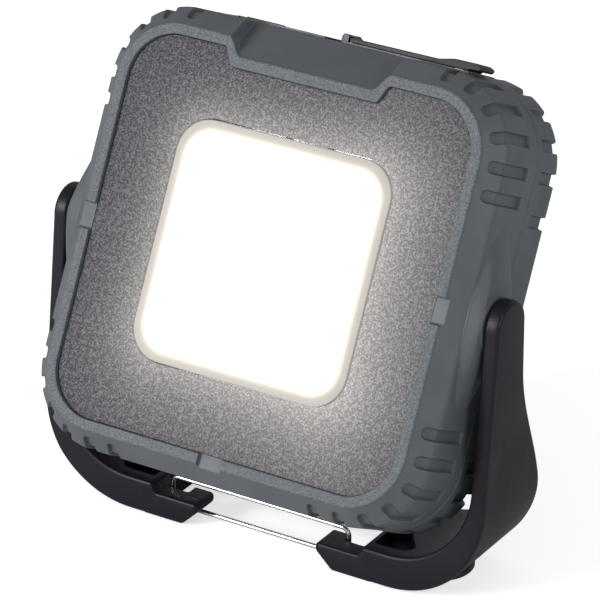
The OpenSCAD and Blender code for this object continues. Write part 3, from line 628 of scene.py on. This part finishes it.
def corner_stations(side):
    """Places around the corner after a side: across each slot, and one between two slots."""
    half_step = (SLOT_ANGLES[1] - SLOT_ANGLES[0]) / 2
    out = []
    for j, a in enumerate(SLOT_ANGLES):
        offsets = sorted({s * q for q in ACROSS for s in (-1, 1)})
        for q in offsets:
            if (j == 0 and q <= 0) or (j == len(SLOT_ANGLES) - 1 and q >= 0):
                continue
            out.append(("corner", side, math.radians(a), q))
        if j < len(SLOT_ANGLES) - 1:
            out.append(("corner", side, math.radians(a + half_step), None))
    return out


def place(station, x, y):
    """Point of the head's surface at a station, x out from the middle and y deep."""
    kind, side, where, q = station
    n, t = NORMALS[side], TANGENTS[side]
    if kind == "straight":
        p = n * x + t * where
    else:
        r = x - CORNER
        a = where + (math.asin(q / max(r, FAN_R)) if q is not None else 0.0)
        p = (n + t) * CORNER + (n * math.cos(a) + t * math.sin(a)) * r
    return (p[0], y, p[1])


def slot_depth(q, along, start, end_gap, depth):
    """How deep a slot is: q across it, along it from its round end's centre, end_gap from its back end."""
    if q is None or abs(q) > 3:
        return np.zeros(len(along))
    before = np.minimum(along - start, 0)
    inside = np.hypot(q, before) - SLOT_HALF
    gap = np.maximum(inside, end_gap)
    return depth * smooth((0.12 - gap) / 0.5)


def section_points(corners, radii, samples):
    """A rounded section with evenly placed points on its straight stretches."""
    parts = fillet(corners, radii, steps=5)
    out = []
    for i, part in enumerate(parts):
        out += list(part)
        if i < len(parts) - 1:
            a, b = part[-1], parts[i + 1][0]
            out += [mix(a, b, t) for t in samples[i]]
    return np.array(out)


def normals_of(points):
    """Unit normals of a section, pointing into the wall."""
    ahead = np.roll(points, -1, 0) - points
    behind = points - np.roll(points, 1, 0)
    ahead /= np.maximum(np.linalg.norm(ahead, axis=1, keepdims=True), 1e-9)
    behind /= np.maximum(np.linalg.norm(behind, axis=1, keepdims=True), 1e-9)
    t = ahead + behind
    t /= np.maximum(np.linalg.norm(t, axis=1, keepdims=True), 1e-9)
    return np.stack([-t[:, 1], t[:, 0]], 1)


def even(n):
    """Evenly spaced fractions between 0 and 1, without the ends."""
    return [(i + 1) / (n + 1) for i in range(n)]


DIP_LOW = PANEL_HALF - 6.3              # the rim's inner edge in the dip at the top
DIP_X, DIP_RUN = 27.3, 4.4              # where the rim starts to climb out of the dip, and how far
SCOOP_LOW = DIP_LOW + 3.6
SCOOP_X, SCOOP_RUN = 25.0, 5.8
SCOOP_END_X, SCOOP_END_RUN = 29.8, 0.75  # the step from the scoop to the bevel
SCOOP_BACK = Y_RIM + 14
SCOOP_SLOPE = (SCOOP_BACK - Y_RIM) / (HALF - SCOOP_LOW)
TAB_HALF, TAB_RUN, TAB_D = 4.2, 0.6, 1.6  # the lowered pieces of the rim at the middle of each side
EDGE_PLACES = [s * u for s in (-1, 1) for u in (3.6, 4.1, 4.3, 4.5, 4.7, 4.9, 5.6)]
DIP_PLACES = [
    s * u for s in (-1, 1) for u in (
        22, 24, 24.8, 25.4, 26, 26.6, 27.2, 27.8, 28.4, 29, 29.4, 29.7, 29.9, 30.05, 30.2, 30.35, 30.5,
        30.8, 31.2, 31.6, 32.2, 33.2, 35,
    )
]


def front_outer(station):
    """Visible part of the front shell's section: rim, bevel or scoop, side, parting edge."""
    kind, side, where, _ = station
    u = abs(where) if kind == "straight" and side == TOP else FAR
    inner = mix(DIP_LOW, PANEL_HALF, smooth((u - DIP_X) / DIP_RUN))
    outer = mix(SCOOP_LOW, RIM_HALF, smooth((u - SCOOP_X) / SCOOP_RUN))
    wall_y = Y_RIM + (outer - SCOOP_LOW) * SCOOP_SLOPE
    out = float(smooth((u - SCOOP_END_X) / SCOOP_END_RUN))
    scoop_foot = np.array([outer + 0.35, max(wall_y, Y_RIM + 0.35)])
    bevel_foot = np.array([RIM_HALF + 0.9, Y_RIM + 0.95])
    foot = mix(scoop_foot, bevel_foot, out)
    turn = mix(np.array([SIDE_HALF + 0.12, SCOOP_BACK]), np.array([SIDE_HALF, Y_SIDE]), out)
    corners = [
        (inner, Y_SEAT), (inner, Y_RIM), (outer, Y_RIM), foot, turn, (HALF, Y_PART - 0.02),
        (HALF - 1.1, Y_PART - 0.02),
    ]
    radii = [0, 0.45, 0.7, 0.25, mix(1.2, 3.0, out), 0.4, 0]
    back_lines = [
        0.06, 0.14, 0.24, 0.34, 0.45, 0.56, 0.66, 0.70, 0.715, 0.73, 0.745, 0.76, 0.79, 0.85, 0.93,
    ]
    pts = section_points(corners, radii, [even(2), even(3), [], even(22), back_lines, even(1)])
    if kind == "straight" and side != TOP:
        cut = Y_PANEL - TAB_D * float(smooth((abs(where) - TAB_HALF) / TAB_RUN))
        pts[:, 1] = np.where(pts[:, 0] > inner - 0.2, np.maximum(pts[:, 1], cut), pts[:, 1])
    return pts


def front_inner(station):
    """Hidden part of the front shell's section."""
    kind, side, where, _ = station
    u = abs(where) if kind == "straight" and side == TOP else FAR
    w = float(smooth((35.0 - u) / 3.5))
    normal = np.array([
        (HALF - WALL, Y_PART - 0.02), (SIDE_HALF - WALL, Y_SIDE + 1.5), (RIM_HALF - WALL, Y_SEAT + 2.1),
        (PANEL_HALF - 5, Y_SEAT + 2.1), (PANEL_HALF - 5, Y_SEAT + 0.02),
    ])
    dipped = np.array([
        (HALF - WALL, Y_PART - 0.02), (SIDE_HALF - WALL, SCOOP_BACK + 2), (SCOOP_LOW + 1.5, Y_SEAT + 2.1),
        (DIP_LOW - 1.5, Y_SEAT + 2.1), (DIP_LOW - 1.5, Y_SEAT + 0.02),
    ])
    return mix(normal, dipped, w)


FRONT_SLOT_START = 5.7                  # along the section from the rim's outer edge
FRONT_SLOT_END = Y_RIM + 22.5


def front_shell():
    """The front half of the housing: sections around the head, with the slots pressed into them."""
    stations = []
    for side in range(4):
        slots = () if side == TOP else (SLOT_STEP - CORNER, CORNER - SLOT_STEP)
        extra = DIP_PLACES if side == TOP else EDGE_PLACES
        stations += straight_stations(side, slots, extra)
        stations += corner_stations(side)
    rows = []
    for s in stations:
        pts = front_outer(s)
        start = np.argmin(np.hypot(pts[:, 0] - RIM_HALF, pts[:, 1] - Y_RIM))
        steps = np.linalg.norm(np.diff(pts, axis=0), axis=1)
        along = np.concatenate([[0], np.cumsum(steps)])
        along -= along[start]
        q = s[3] if s[3] != NO_SLOT else None
        depth = slot_depth(q, along, FRONT_SLOT_START, pts[:, 1] - FRONT_SLOT_END, SLOT_D)
        depth[along < 1.5] = 0
        if s[0] == "straight" and s[1] == TOP and abs(s[2]) < 36:
            depth[:] = 0
        pts = pts + normals_of(pts) * depth[:, None]
        row = [place(s, x, y) for x, y in pts] + [place(s, x, y) for x, y in front_inner(s)]
        rows.append(row)
    verts, faces = loops_to_mesh(np.array(rows), True, False)
    return mesh_object("front_shell", verts, faces, HEAD, 30)


REAR_FLARE = 0.9
REAR_ROUND = 6.0
BACK_FIELD = HALF - 22
NOTCH_START = Y_PART + 3.3
NOTCH_END_X = HALF - 11


def rear_shell():
    """The rear half of the housing, with a notch behind each grip slot."""
    stations = []
    for side in range(4):
        stations += straight_stations(side, (NOTCH_STEP - CORNER, CORNER - NOTCH_STEP), ())
        stations += corner_stations(side)
    corners = [
        (HALF - 1.1, Y_PART + 0.02), (HALF + 0.05, Y_PART + 0.02), (HALF + REAR_FLARE, Y_BACK),
        (BACK_FIELD, Y_BACK), (BACK_FIELD, Y_BACK - 1.6),
    ]
    side_lines = [0.05, 0.1, 0.14, 0.17, 0.20, 0.22, 0.24, 0.26, 0.28, 0.31, 0.36, 0.45, 0.6, 0.75, 0.9]
    back_lines = [0.1, 0.2, 0.26, 0.28, 0.30, 0.32, 0.34, 0.37, 0.45, 0.6, 0.8]
    radii = [0, 0.4, REAR_ROUND, 0.5, 0]
    outer = section_points(corners, radii, [even(1), side_lines, back_lines, even(1)])
    inner = np.array([
        (BACK_FIELD, Y_BACK - WALL), (HALF - WALL - 3, Y_BACK - WALL), (HALF - WALL, Y_BACK - 6),
        (HALF - WALL, Y_PART + 0.02),
    ])
    out = normals_of(outer)
    rows = []
    for s in stations:
        q = s[3] if s[3] != NO_SLOT else None
        gap = np.maximum(NOTCH_START - outer[:, 1], NOTCH_END_X - outer[:, 0])
        depth = slot_depth(q, np.zeros(len(outer)), 0.0, gap, NOTCH_D)
        depth[:8] = 0
        pts = outer + out * depth[:, None]
        rows.append([place(s, x, y) for x, y in pts] + [place(s, x, y) for x, y in inner])
    verts, faces = loops_to_mesh(np.array(rows), True, False)
    return mesh_object("rear_shell", verts, faces, HEAD, 30)


SCREW_AT = HALF - 19.5
SCREW_SEAT = Y_BACK - 9
POST_R = 5.2
COUNTERBORE_R = 3.2


def opening(name, low, high, depth):
    """A cutter for the housing's top wall, a little smaller than the trim that covers it."""
    cx, cy = (low[0] + high[0]) / 2, (low[1] + high[1]) / 2
    hx, hy = (high[0] - low[0]) / 2 - 0.4, (high[1] - low[1]) / 2 - 0.4
    outline = round_rect(cx, cy, hx, hy, 1.2, 4)
    return prism(name, outline, HALF - depth, HALF + 5, HEAD)


def rod(name, start, end, radius, matrix, steps=40):
    """A plain cylinder along Y, used for posts and as a cutter."""
    ring = circle(start[0], start[2], radius, steps)
    rows = [[(x, y, z) for x, z in ring] for y in (start[1], end)]
    verts, faces = loops_to_mesh(np.array(rows), False, True)
    return mesh_object(name, verts, faces, matrix)


shell = front_shell()
for name, low, high in (("strip_bed", strip_lo, strip_hi), ("port_bed", frame_lo, frame_hi)):
    boolean(shell, opening(name, low, high, 2.5 * WALL), "DIFFERENCE")
dress(shell, grey_plastic, "lamp_head", "housing_grey", "front_housing")

shell = rear_shell()
for sx in (-1, 1):
    for sz in (-1, 1):
        post = (sx * SCREW_AT, Y_PART + 0.3, sz * SCREW_AT)
        seat = (post[0], SCREW_SEAT, post[2])
        boolean(shell, rod("post", post, Y_BACK - 0.6, POST_R, HEAD), "UNION")
        boolean(shell, rod("counterbore", seat, Y_BACK + 2, COUNTERBORE_R, HEAD), "DIFFERENCE")
dress(shell, grey_plastic, "lamp_head", "housing_grey", "rear_housing")
back = plate("back_field", [round_rect(0, 0, BACK_FIELD + 0.6, BACK_FIELD + 0.6, 6)], Y_BACK - 2.4,
             Y_BACK - 0.8, 0.3, HEAD)
dress(back, grey_plastic, "lamp_head", "housing_grey", "rear_housing")


def pivot_boss(side):
    """The side wall swells out over a long oval and ends in a flat bearing ring around the stub."""
    face, inside, bore, flat_r = front_hi[0], 70, 7.1, 9.9
    spread_y, spread_z = 1.2, 26
    ring = [
        (inside, bore, bore), (face - 0.4, bore, bore), (face, 7.5, 7.5), (face, 9.4, 9.4),
        (face - 0.35, flat_r, flat_r),
    ]
    for t in np.linspace(0.06, 1, 16):
        x = mix(face - 0.5, HALF - 0.7, smooth(t))
        ring.append((x, flat_r + spread_y * t, flat_r + spread_z * t))
    ring.append((inside, flat_r + spread_y, flat_r + spread_z))
    angles = np.linspace(0, 2 * math.pi, 96, endpoint=False)
    grid = [[(side * x, ry * math.cos(a), rz * math.sin(a)) for x, ry, rz in ring] for a in angles]
    verts, faces = loops_to_mesh(np.array(grid), True, False)
    boss = mesh_object("pivot_boss_" + SIDE_NAMES[side], verts, faces, HEAD)
    return dress(boss, grey_plastic, "lamp_head", "housing_grey", "front_housing")


for side in (-1, 1):
    pivot_boss(side)

# ---------------------------------------------------------------- face
def panel_outline():
    """The face plate's outline: a rounded square with the dip at its top."""
    gap = 0.12
    half = PANEL_HALF - gap
    r = half - CORNER
    out = []
    for k in range(4):
        n, t = NORMALS[k], TANGENTS[k]
        if k == TOP:
            for u in np.linspace(-33, 33, 89):
                z = mix(DIP_LOW - gap, half, smooth((abs(u) - DIP_X - 0.1) / DIP_RUN))
                out.append((u, z))
        for a in np.radians(np.linspace(0, 90, 25)):
            p = (n + t) * CORNER + (n * math.cos(a) + t * math.sin(a)) * r
            out.append((p[0], p[1]))
    return out


LENS_GAP = 0.45
hole_half = LENS_HALF + LENS_GAP
hole = round_rect(0, 0, hole_half, hole_half, LENS_R + LENS_GAP, 16)
face = plate("face_plate", [panel_outline(), hole], Y_PANEL, Y_SEAT, 0.25, HEAD)
dress(face, panel_plastic, "lamp_head", "panel_dark", "front_panel")
lens = round_rect(0, 0, LENS_HALF, LENS_HALF, LENS_R, 16)
window = plate("window", [lens], Y_PANEL - 0.1, Y_SEAT, 0.3, HEAD)
dress(window, lens_plastic, "lamp_head", "lens_frosted", "window_lens")

# ---------------------------------------------------------------- flap
TOP_Y = (flap_lo[1] + flap_hi[1]) / 2
KNUCKLE_R = 1.2
KNUCKLE_HALF = 3.1
HINGE_X = (pin_lo[0] + pin_hi[0]) / 2
HINGE_Z = (pin_lo[2] + pin_hi[2]) / 2


def port_flap():
    """A thin rubber leaf with a thicker pull tab past its free end and a knuckle round the pin."""
    low = HALF + 0.45
    leaf = flat(fillet(
        [
            (HINGE_X + 2.1, low), (49.6, low), (50.2, low + 0.6), (53.4, low + 0.7),
            (54.2, low + 1.2), (54.1, low + 2.3), (52.4, low + 3.0), (44, low + 2.9),
            (38.5, low + 1.7), (HINGE_X + 2.1, low + 1.5),
        ],
        [0.4, 0.4, 0.4, 0.5, 0.5, 0.6, 2, 6, 6, 0.4], closed=True, steps=5,
    ))
    half_width = (flap_hi[1] - flap_lo[1]) / 2
    body = plate("port_flap_body", [leaf], TOP_Y - half_width, TOP_Y + half_width, 0.35, HEAD)
    round_end = [(HINGE_X + KNUCKLE_R * math.cos(a), HINGE_Z + KNUCKLE_R * math.sin(a))
                 for a in np.radians(np.linspace(90, 300, 15))]
    knuckle = [(HINGE_X + 3.2, low + 0.05)] + [(HINGE_X + 3.2, low + 1.45)] + round_end
    knuckle_low, knuckle_high = TOP_Y - KNUCKLE_HALF, TOP_Y + KNUCKLE_HALF
    boolean(body, plate("knuckle", [knuckle], knuckle_low, knuckle_high, 0.1, HEAD), "UNION")
    return dress(body, black_rubber, "port_flap", "rubber_black", "port_flap")


port_flap()

# ---------------------------------------------------------------- stand
PIVOT = Vector(joints["head_tilt"]["pos_m"]) / MM
ARM_OUT = stand_hi[0]
ARM_IN = front_hi[0] + 0.4
BASE_FRONT, BASE_BACK = stand_lo[1], stand_hi[1]
FOOT_LIFT = stand_lo[2]
ARM_TOP_R = stand_hi[2] - PIVOT.z
BASE_H = 13.0
OUTER_R, INNER_R = 35.5, 30.0
FRONT_Z = 15.5                          # below this the arms' front edge is upright
FLARE_TOP, FLARE_H = 80, 52             # the arms' rear edge flares out below the top height
GAP_X = 41.5                            # half width of the opening between the feet
BEAM_D, BEAM_H = 8.5, 9.0
TIP_X, TIP_H, TIP_D = 23.5, 9.5, 11.6
NOTCH_X = (30.8, 39.2)
STUB_R = 7.0
PAD_R = 12
PAD_TOP = 2
MAGNET_BED = (6.1, 9.05)                # top and radius of the bed for a foot's magnet
POCKET_FLOOR = 7.5
EDGE = 1.3                              # rounding of the stand's edges
WIRE_BEND = 2.6
WIRE_R = (wire_hi[1] - wire_lo[1]) / 2
WIRE_Y = (wire_hi[1] + wire_lo[1]) / 2


def arm_front(z):
    """Y of the arms' front edge at a height."""
    t = np.clip((z - FRONT_Z) / (PIVOT.z - FRONT_Z), 0, 1)
    return mix(BASE_FRONT, PIVOT.y - ARM_TOP_R, t)


def arm_rear(z):
    """Y of the arms' rear edge at a height."""
    return mix(PIVOT.y + ARM_TOP_R, BASE_BACK, smooth((FLARE_TOP - z) / FLARE_H))


def arm_path():
    """Outer and inner points (x, z) of the U from the pivot down to the gap between the feet."""
    out = []
    corner = ARM_OUT - OUTER_R
    for t in np.linspace(0, 1, 40, endpoint=False):
        outer_z, inner_z = mix(PIVOT.z, FOOT_LIFT + OUTER_R, t), mix(PIVOT.z, BASE_H + INNER_R, t)
        out.append(((ARM_OUT, outer_z), (ARM_IN, inner_z)))
    for a in np.radians(np.linspace(0, 90, 31)):
        out.append((
            (corner + OUTER_R * math.cos(a), FOOT_LIFT + OUTER_R * (1 - math.sin(a))),
            (corner + INNER_R * math.cos(a), BASE_H + INNER_R * (1 - math.sin(a))),
        ))
    for x in np.linspace(corner, GAP_X + 0.8, 5)[1:]:
        out.append(((x, FOOT_LIFT), (x, BASE_H)))
    return out


def arm_section(rise):
    """Section of the arm's round top at a height above the pivot: a slice of a soft-edged disc."""
    half_t = (ARM_OUT - ARM_IN) / 2
    corners = [(half_t, -ARM_TOP_R), (half_t, ARM_TOP_R), (-half_t, ARM_TOP_R), (-half_t, -ARM_TOP_R)]
    ring = flat(fillet(corners, [EDGE] * 4, closed=True, steps=4))
    reach = np.maximum(np.abs(ring[:, 1]), rise)
    inset = EDGE - np.sqrt(np.maximum(EDGE ** 2 - np.maximum(reach - ARM_TOP_R + EDGE, 0) ** 2, 0))
    x = np.sign(ring[:, 0]) * (half_t - inset)
    y = np.sign(ring[:, 1]) * np.sqrt(np.maximum(ring[:, 1] ** 2 - rise ** 2, 0))
    return x, y


def arm(side):
    """One arm with its lower corner and foot: a section with soft edges swept along the U."""
    rows = []
    middle_x = (ARM_OUT + ARM_IN) / 2
    for a in np.radians(np.linspace(90, 5, 18)):
        rise = ARM_TOP_R * math.sin(a)
        section = zip(*arm_section(rise))
        rows.append([(side * (middle_x + x), PIVOT.y + y, PIVOT.z + rise) for x, y in section])
    for (ox, oz), (ix, iz) in arm_path():
        ring = [
            (side * ox, arm_front(oz), oz), (side * ox, arm_rear(oz), oz),
            (side * ix, arm_rear(iz), iz), (side * ix, arm_front(iz), iz),
        ]
        rows.append(flat(fillet(ring, [EDGE] * 4, closed=True, steps=4)))
    end = rows[-1].copy()
    middle = (end.min(0) + end.max(0)) / 2
    chamfer = 1.4
    shrink = np.array([1, 1 - chamfer / (BASE_BACK - BASE_FRONT), 1 - chamfer / BASE_H])
    end = middle + (end - middle) * shrink
    end[:, 0] = side * GAP_X
    verts, faces = loops_to_mesh(np.array(rows + [end]), False, True)
    return mesh_object("arm", verts, faces, GROUND)


def stub(side):
    """The short axle inside an arm that the head turns on."""
    end, centre = 72, 0.01
    profile = [(ARM_IN + 1, centre), (ARM_IN + 1, STUB_R), (end, STUB_R), (end, centre)]
    return lathe("stub", [(side * x, r) for x, r in profile], (0, PIVOT.y, PIVOT.z), GROUND)


def finger(side):
    """The short finger in front of the gap, with a sloped underside; the wire is hinged in it."""
    shape = flat(fillet(
        [
            (TIP_X, TIP_H), (TIP_X, FOOT_LIFT + 6), (TIP_X + 6.2, FOOT_LIFT), (GAP_X + 4, FOOT_LIFT),
            (GAP_X + 4, BASE_H - 1), (GAP_X, BASE_H - 1.2), (GAP_X - 1.5, TIP_H),
        ],
        [2.4, 2.2, 2.0, 1.1, 1.1, 1.1, 1.2], closed=True, steps=5,
    ))
    outline = [(side * x, z) for x, z in shape]
    return plate("finger", [outline], BASE_FRONT, BASE_FRONT + TIP_D, 1.0, GROUND)


def notch(side):
    """Cutter for the slot behind a finger where the wire's upright folds back."""
    low, high = NOTCH_X
    reach = 20
    outline = round_rect(side * (low + high) / 2, WIRE_Y - 1.5 + reach, (high - low) / 2, reach, 0.9, 4)
    return prism("notch", outline, -1, BASE_H + 8, GROUND)


def pocket(side):
    """Cutter for the recess in the top of a foot."""
    shape = [
        (GAP_X + 2, BASE_FRONT + 5), (56, BASE_FRONT + 5), (58, BASE_FRONT + 8), (50, BASE_BACK - 21),
        (GAP_X + 2, BASE_BACK - 14),
    ]
    outline = flat(fillet([(side * x, y) for x, y in shape], [1.0] * 5, closed=True, steps=3))
    return prism("pocket", outline, POCKET_FLOOR, BASE_H + 20, GROUND)


def foot_rod(name, side, low, high, radius):
    """A vertical cylinder at a foot pad."""
    outline = circle(side * (pad_hi[0] - PAD_R), (pad_lo[1] + pad_hi[1]) / 2, radius)
    return prism(name, outline, low, high, GROUND)


def stand():
    """The U-shaped stand: rear beam, arms, stubs, fingers and feet in one moulding."""
    beam_y, beam_z = (2 * BASE_BACK - BEAM_D) / 2, (FOOT_LIFT + BEAM_H) / 2
    beam = round_rect(beam_y, beam_z, BEAM_D / 2, (BEAM_H - FOOT_LIFT) / 2, EDGE, 4)
    body = plate("stand", [beam], -GAP_X - 2, GAP_X + 2, 0.1, GROUND, "YZ")
    for side in (-1, 1):
        boolean(body, arm(side), "UNION")
        boolean(body, stub(side), "UNION")
        boolean(body, finger(side), "UNION")
        boolean(body, foot_rod("foot", side, PAD_TOP, 8, PAD_R), "UNION")
        boolean(body, notch_in_finger(side), "DIFFERENCE")
        boolean(body, pocket(side), "DIFFERENCE")
        boolean(body, foot_rod("pad_bed", side, -1, PAD_TOP, PAD_R + 0.1), "DIFFERENCE")
        boolean(body, foot_rod("magnet_bed", side, -1, *MAGNET_BED), "DIFFERENCE")
    return dress(body, black_plastic, "stand", "stand_black", "stand_frame")


def notch_in_finger(side):
    """The notch, kept clear of the rear beam."""
    cutter = notch(side)
    outline = round_rect(0, BASE_BACK, GAP_X + 20, BEAM_D, 1, 3)
    boolean(cutter, prism("beam_keep", outline, -5, BASE_H + 20, GROUND), "DIFFERENCE")
    return cutter


stand()


def pads():
    """Rubber feet with rounded lower edges."""
    cy = (pad_lo[1] + pad_hi[1]) / 2
    corners = [(0.01, pad_hi[2]), (PAD_R, pad_hi[2]), (PAD_R, 0), (0.01, 0)]
    edge = flat(fillet(corners, [0, 0.2, 0.6, 0], steps=4))
    angles = np.linspace(0, 2 * math.pi, 64, endpoint=False)
    for side in (-1, 1):
        cx = side * (pad_hi[0] - PAD_R)
        grid = [[(cx + r * math.cos(a), cy + r * math.sin(a), z) for r, z in edge] for a in angles]
        verts, faces = loops_to_mesh(np.array(grid), True, False)
        pad = mesh_object("pad_" + SIDE_NAMES[side], verts, faces, GROUND)
        dress(pad, black_rubber, "stand", "rubber_black", "foot_pads")


pads()


def hanging_wire():
    """A closed loop of wire with bent corners."""
    x0, x1 = wire_lo[0] + WIRE_R, wire_hi[0] - WIRE_R
    z0, z1 = wire_lo[2] + WIRE_R, wire_hi[2] - WIRE_R
    ring = flat(fillet([(x0, z0), (x1, z0), (x1, z1), (x0, z1)], [WIRE_BEND] * 4, closed=True, steps=8))
    wire = tube("bail", [(x, WIRE_Y, z) for x, z in ring], WIRE_R, GROUND)
    return dress(wire, wire_metal, "hanging_wire", "wire_steel", "hanging_wire")


hanging_wire()

# ---------------------------------------------------------------- carried-over nodes
SOFT_EDGE = 0.25


def soften(node):
    """Rounds the sharp edges of a CAD node with a modifier."""
    m = frame["nodes"][node].modifiers.new("soft_edges", "BEVEL")
    m.width = SOFT_EDGE * MM
    m.segments = 2
    m.limit_method = "ANGLE"
    m.angle_limit = math.radians(40)
    m.harden_normals = False


for node in ("control_strip", "power_button", "port_frame", "charge_indicators"):
    soften(node)

# ---------------------------------------------------------------- stage
SHIFT_RIGHT = 0.0022
SHIFT_UP = -0.0019
AZIMUTH, ELEVATION = math.radians(32.02), math.radians(26.41)
DISTANCE = 1.4904
FOCAL = 270.0
WORLD_LIGHT = 0.38
FLOOR_GLOW = 0.62
FLOOR_HALF = 6000
LIT_POINT = (0, 0, 0.09)
KEY_WATTS = 26
KEY_AT, KEY_SIZE = (-0.9, -1.5, 0.75), (0.7, 0.7)
FILL_WATTS = 5
FILL_AT, FILL_SIZE = (1.3, -0.4, 0.7), (0.5, 0.9)


def aim_camera():
    """A long lens from above, front and right, aimed at the middle of the light."""
    low, high = (Vector(c) for c in cad_box)
    middle = (low + high) / 2
    level = math.cos(ELEVATION)
    back = Vector((math.sin(AZIMUTH) * level, -math.cos(AZIMUTH) * level, math.sin(ELEVATION)))
    right = Vector((math.cos(AZIMUTH), math.sin(AZIMUTH), 0))
    up = back.cross(right)
    camera = bpy.data.cameras.new("camera")
    camera.lens = FOCAL
    camera.sensor_width = 36.0
    camera.clip_end = 20.0
    obj = bpy.data.objects.new("camera", camera)
    bpy.context.scene.collection.objects.link(obj)
    where = middle + right * SHIFT_RIGHT + up * SHIFT_UP + back * DISTANCE
    obj.matrix_world = Matrix.Translation(where) @ Matrix((right, up, back)).transposed().to_4x4()
    bpy.context.scene.camera = obj


def soft_light(name, place_at, size, watts):
    """A rectangular lamp that points at the light."""
    light = bpy.data.lights.new(name, "AREA")
    light.shape = "RECTANGLE"
    light.size, light.size_y = size
    light.energy = watts
    obj = bpy.data.objects.new(name, light)
    bpy.context.scene.collection.objects.link(obj)
    obj.location = place_at
    obj.rotation_euler = (Vector(LIT_POINT) - Vector(place_at)).to_track_quat("-Z", "Y").to_euler()


def camera_only(graph_tree):
    """1 for rays that come straight from the camera, 0 for all others."""
    return graph_tree.nodes.new("ShaderNodeLightPath").outputs["Is Camera Ray"]


def floor_plane():
    """A plain pale floor that reads as white to the camera."""
    g = Graph("floor")
    tone = g.ramp(g.noise(3.0, 3.0), 0.3, 0.7)
    glow = g.math("MULTIPLY", camera_only(g.tree), FLOOR_GLOW)
    g.set(
        Base_Color=g.mix(tone, rgb(0.84, 0.84, 0.84), rgb(0.88, 0.88, 0.88)),
        Roughness=0.7,
        Emission_Color=rgb(1, 1, 1),
        Emission_Strength=glow,
    )
    corners = [(x * FLOOR_HALF, y * FLOOR_HALF, 0) for x, y in ((-1, -1), (1, -1), (1, 1), (-1, 1))]
    floor = mesh_object("floor", corners, [(0, 1, 2, 3)], GROUND)
    floor.data.materials.append(g.material)


def surroundings():
    """Soft even light from all round, seen as white by the camera."""
    world = bpy.data.worlds.new("studio")
    bpy.context.scene.world = world
    world.use_nodes = True
    background = world.node_tree.nodes["Background"]
    strength = world.node_tree.nodes.new("ShaderNodeMapRange")
    world.node_tree.links.new(camera_only(world.node_tree), strength.inputs["Value"])
    strength.inputs["To Min"].default_value = WORLD_LIGHT
    strength.inputs["To Max"].default_value = 1.0
    world.node_tree.links.new(strength.outputs["Result"], background.inputs["Strength"])
    background.inputs["Color"].default_value = (1, 1, 1, 1)


aim_camera()
floor_plane()
surroundings()
soft_light("key", KEY_AT, KEY_SIZE, KEY_WATTS)
soft_light("fill", FILL_AT, FILL_SIZE, FILL_WATTS)
bpy.context.scene.view_settings.view_transform = "Standard"
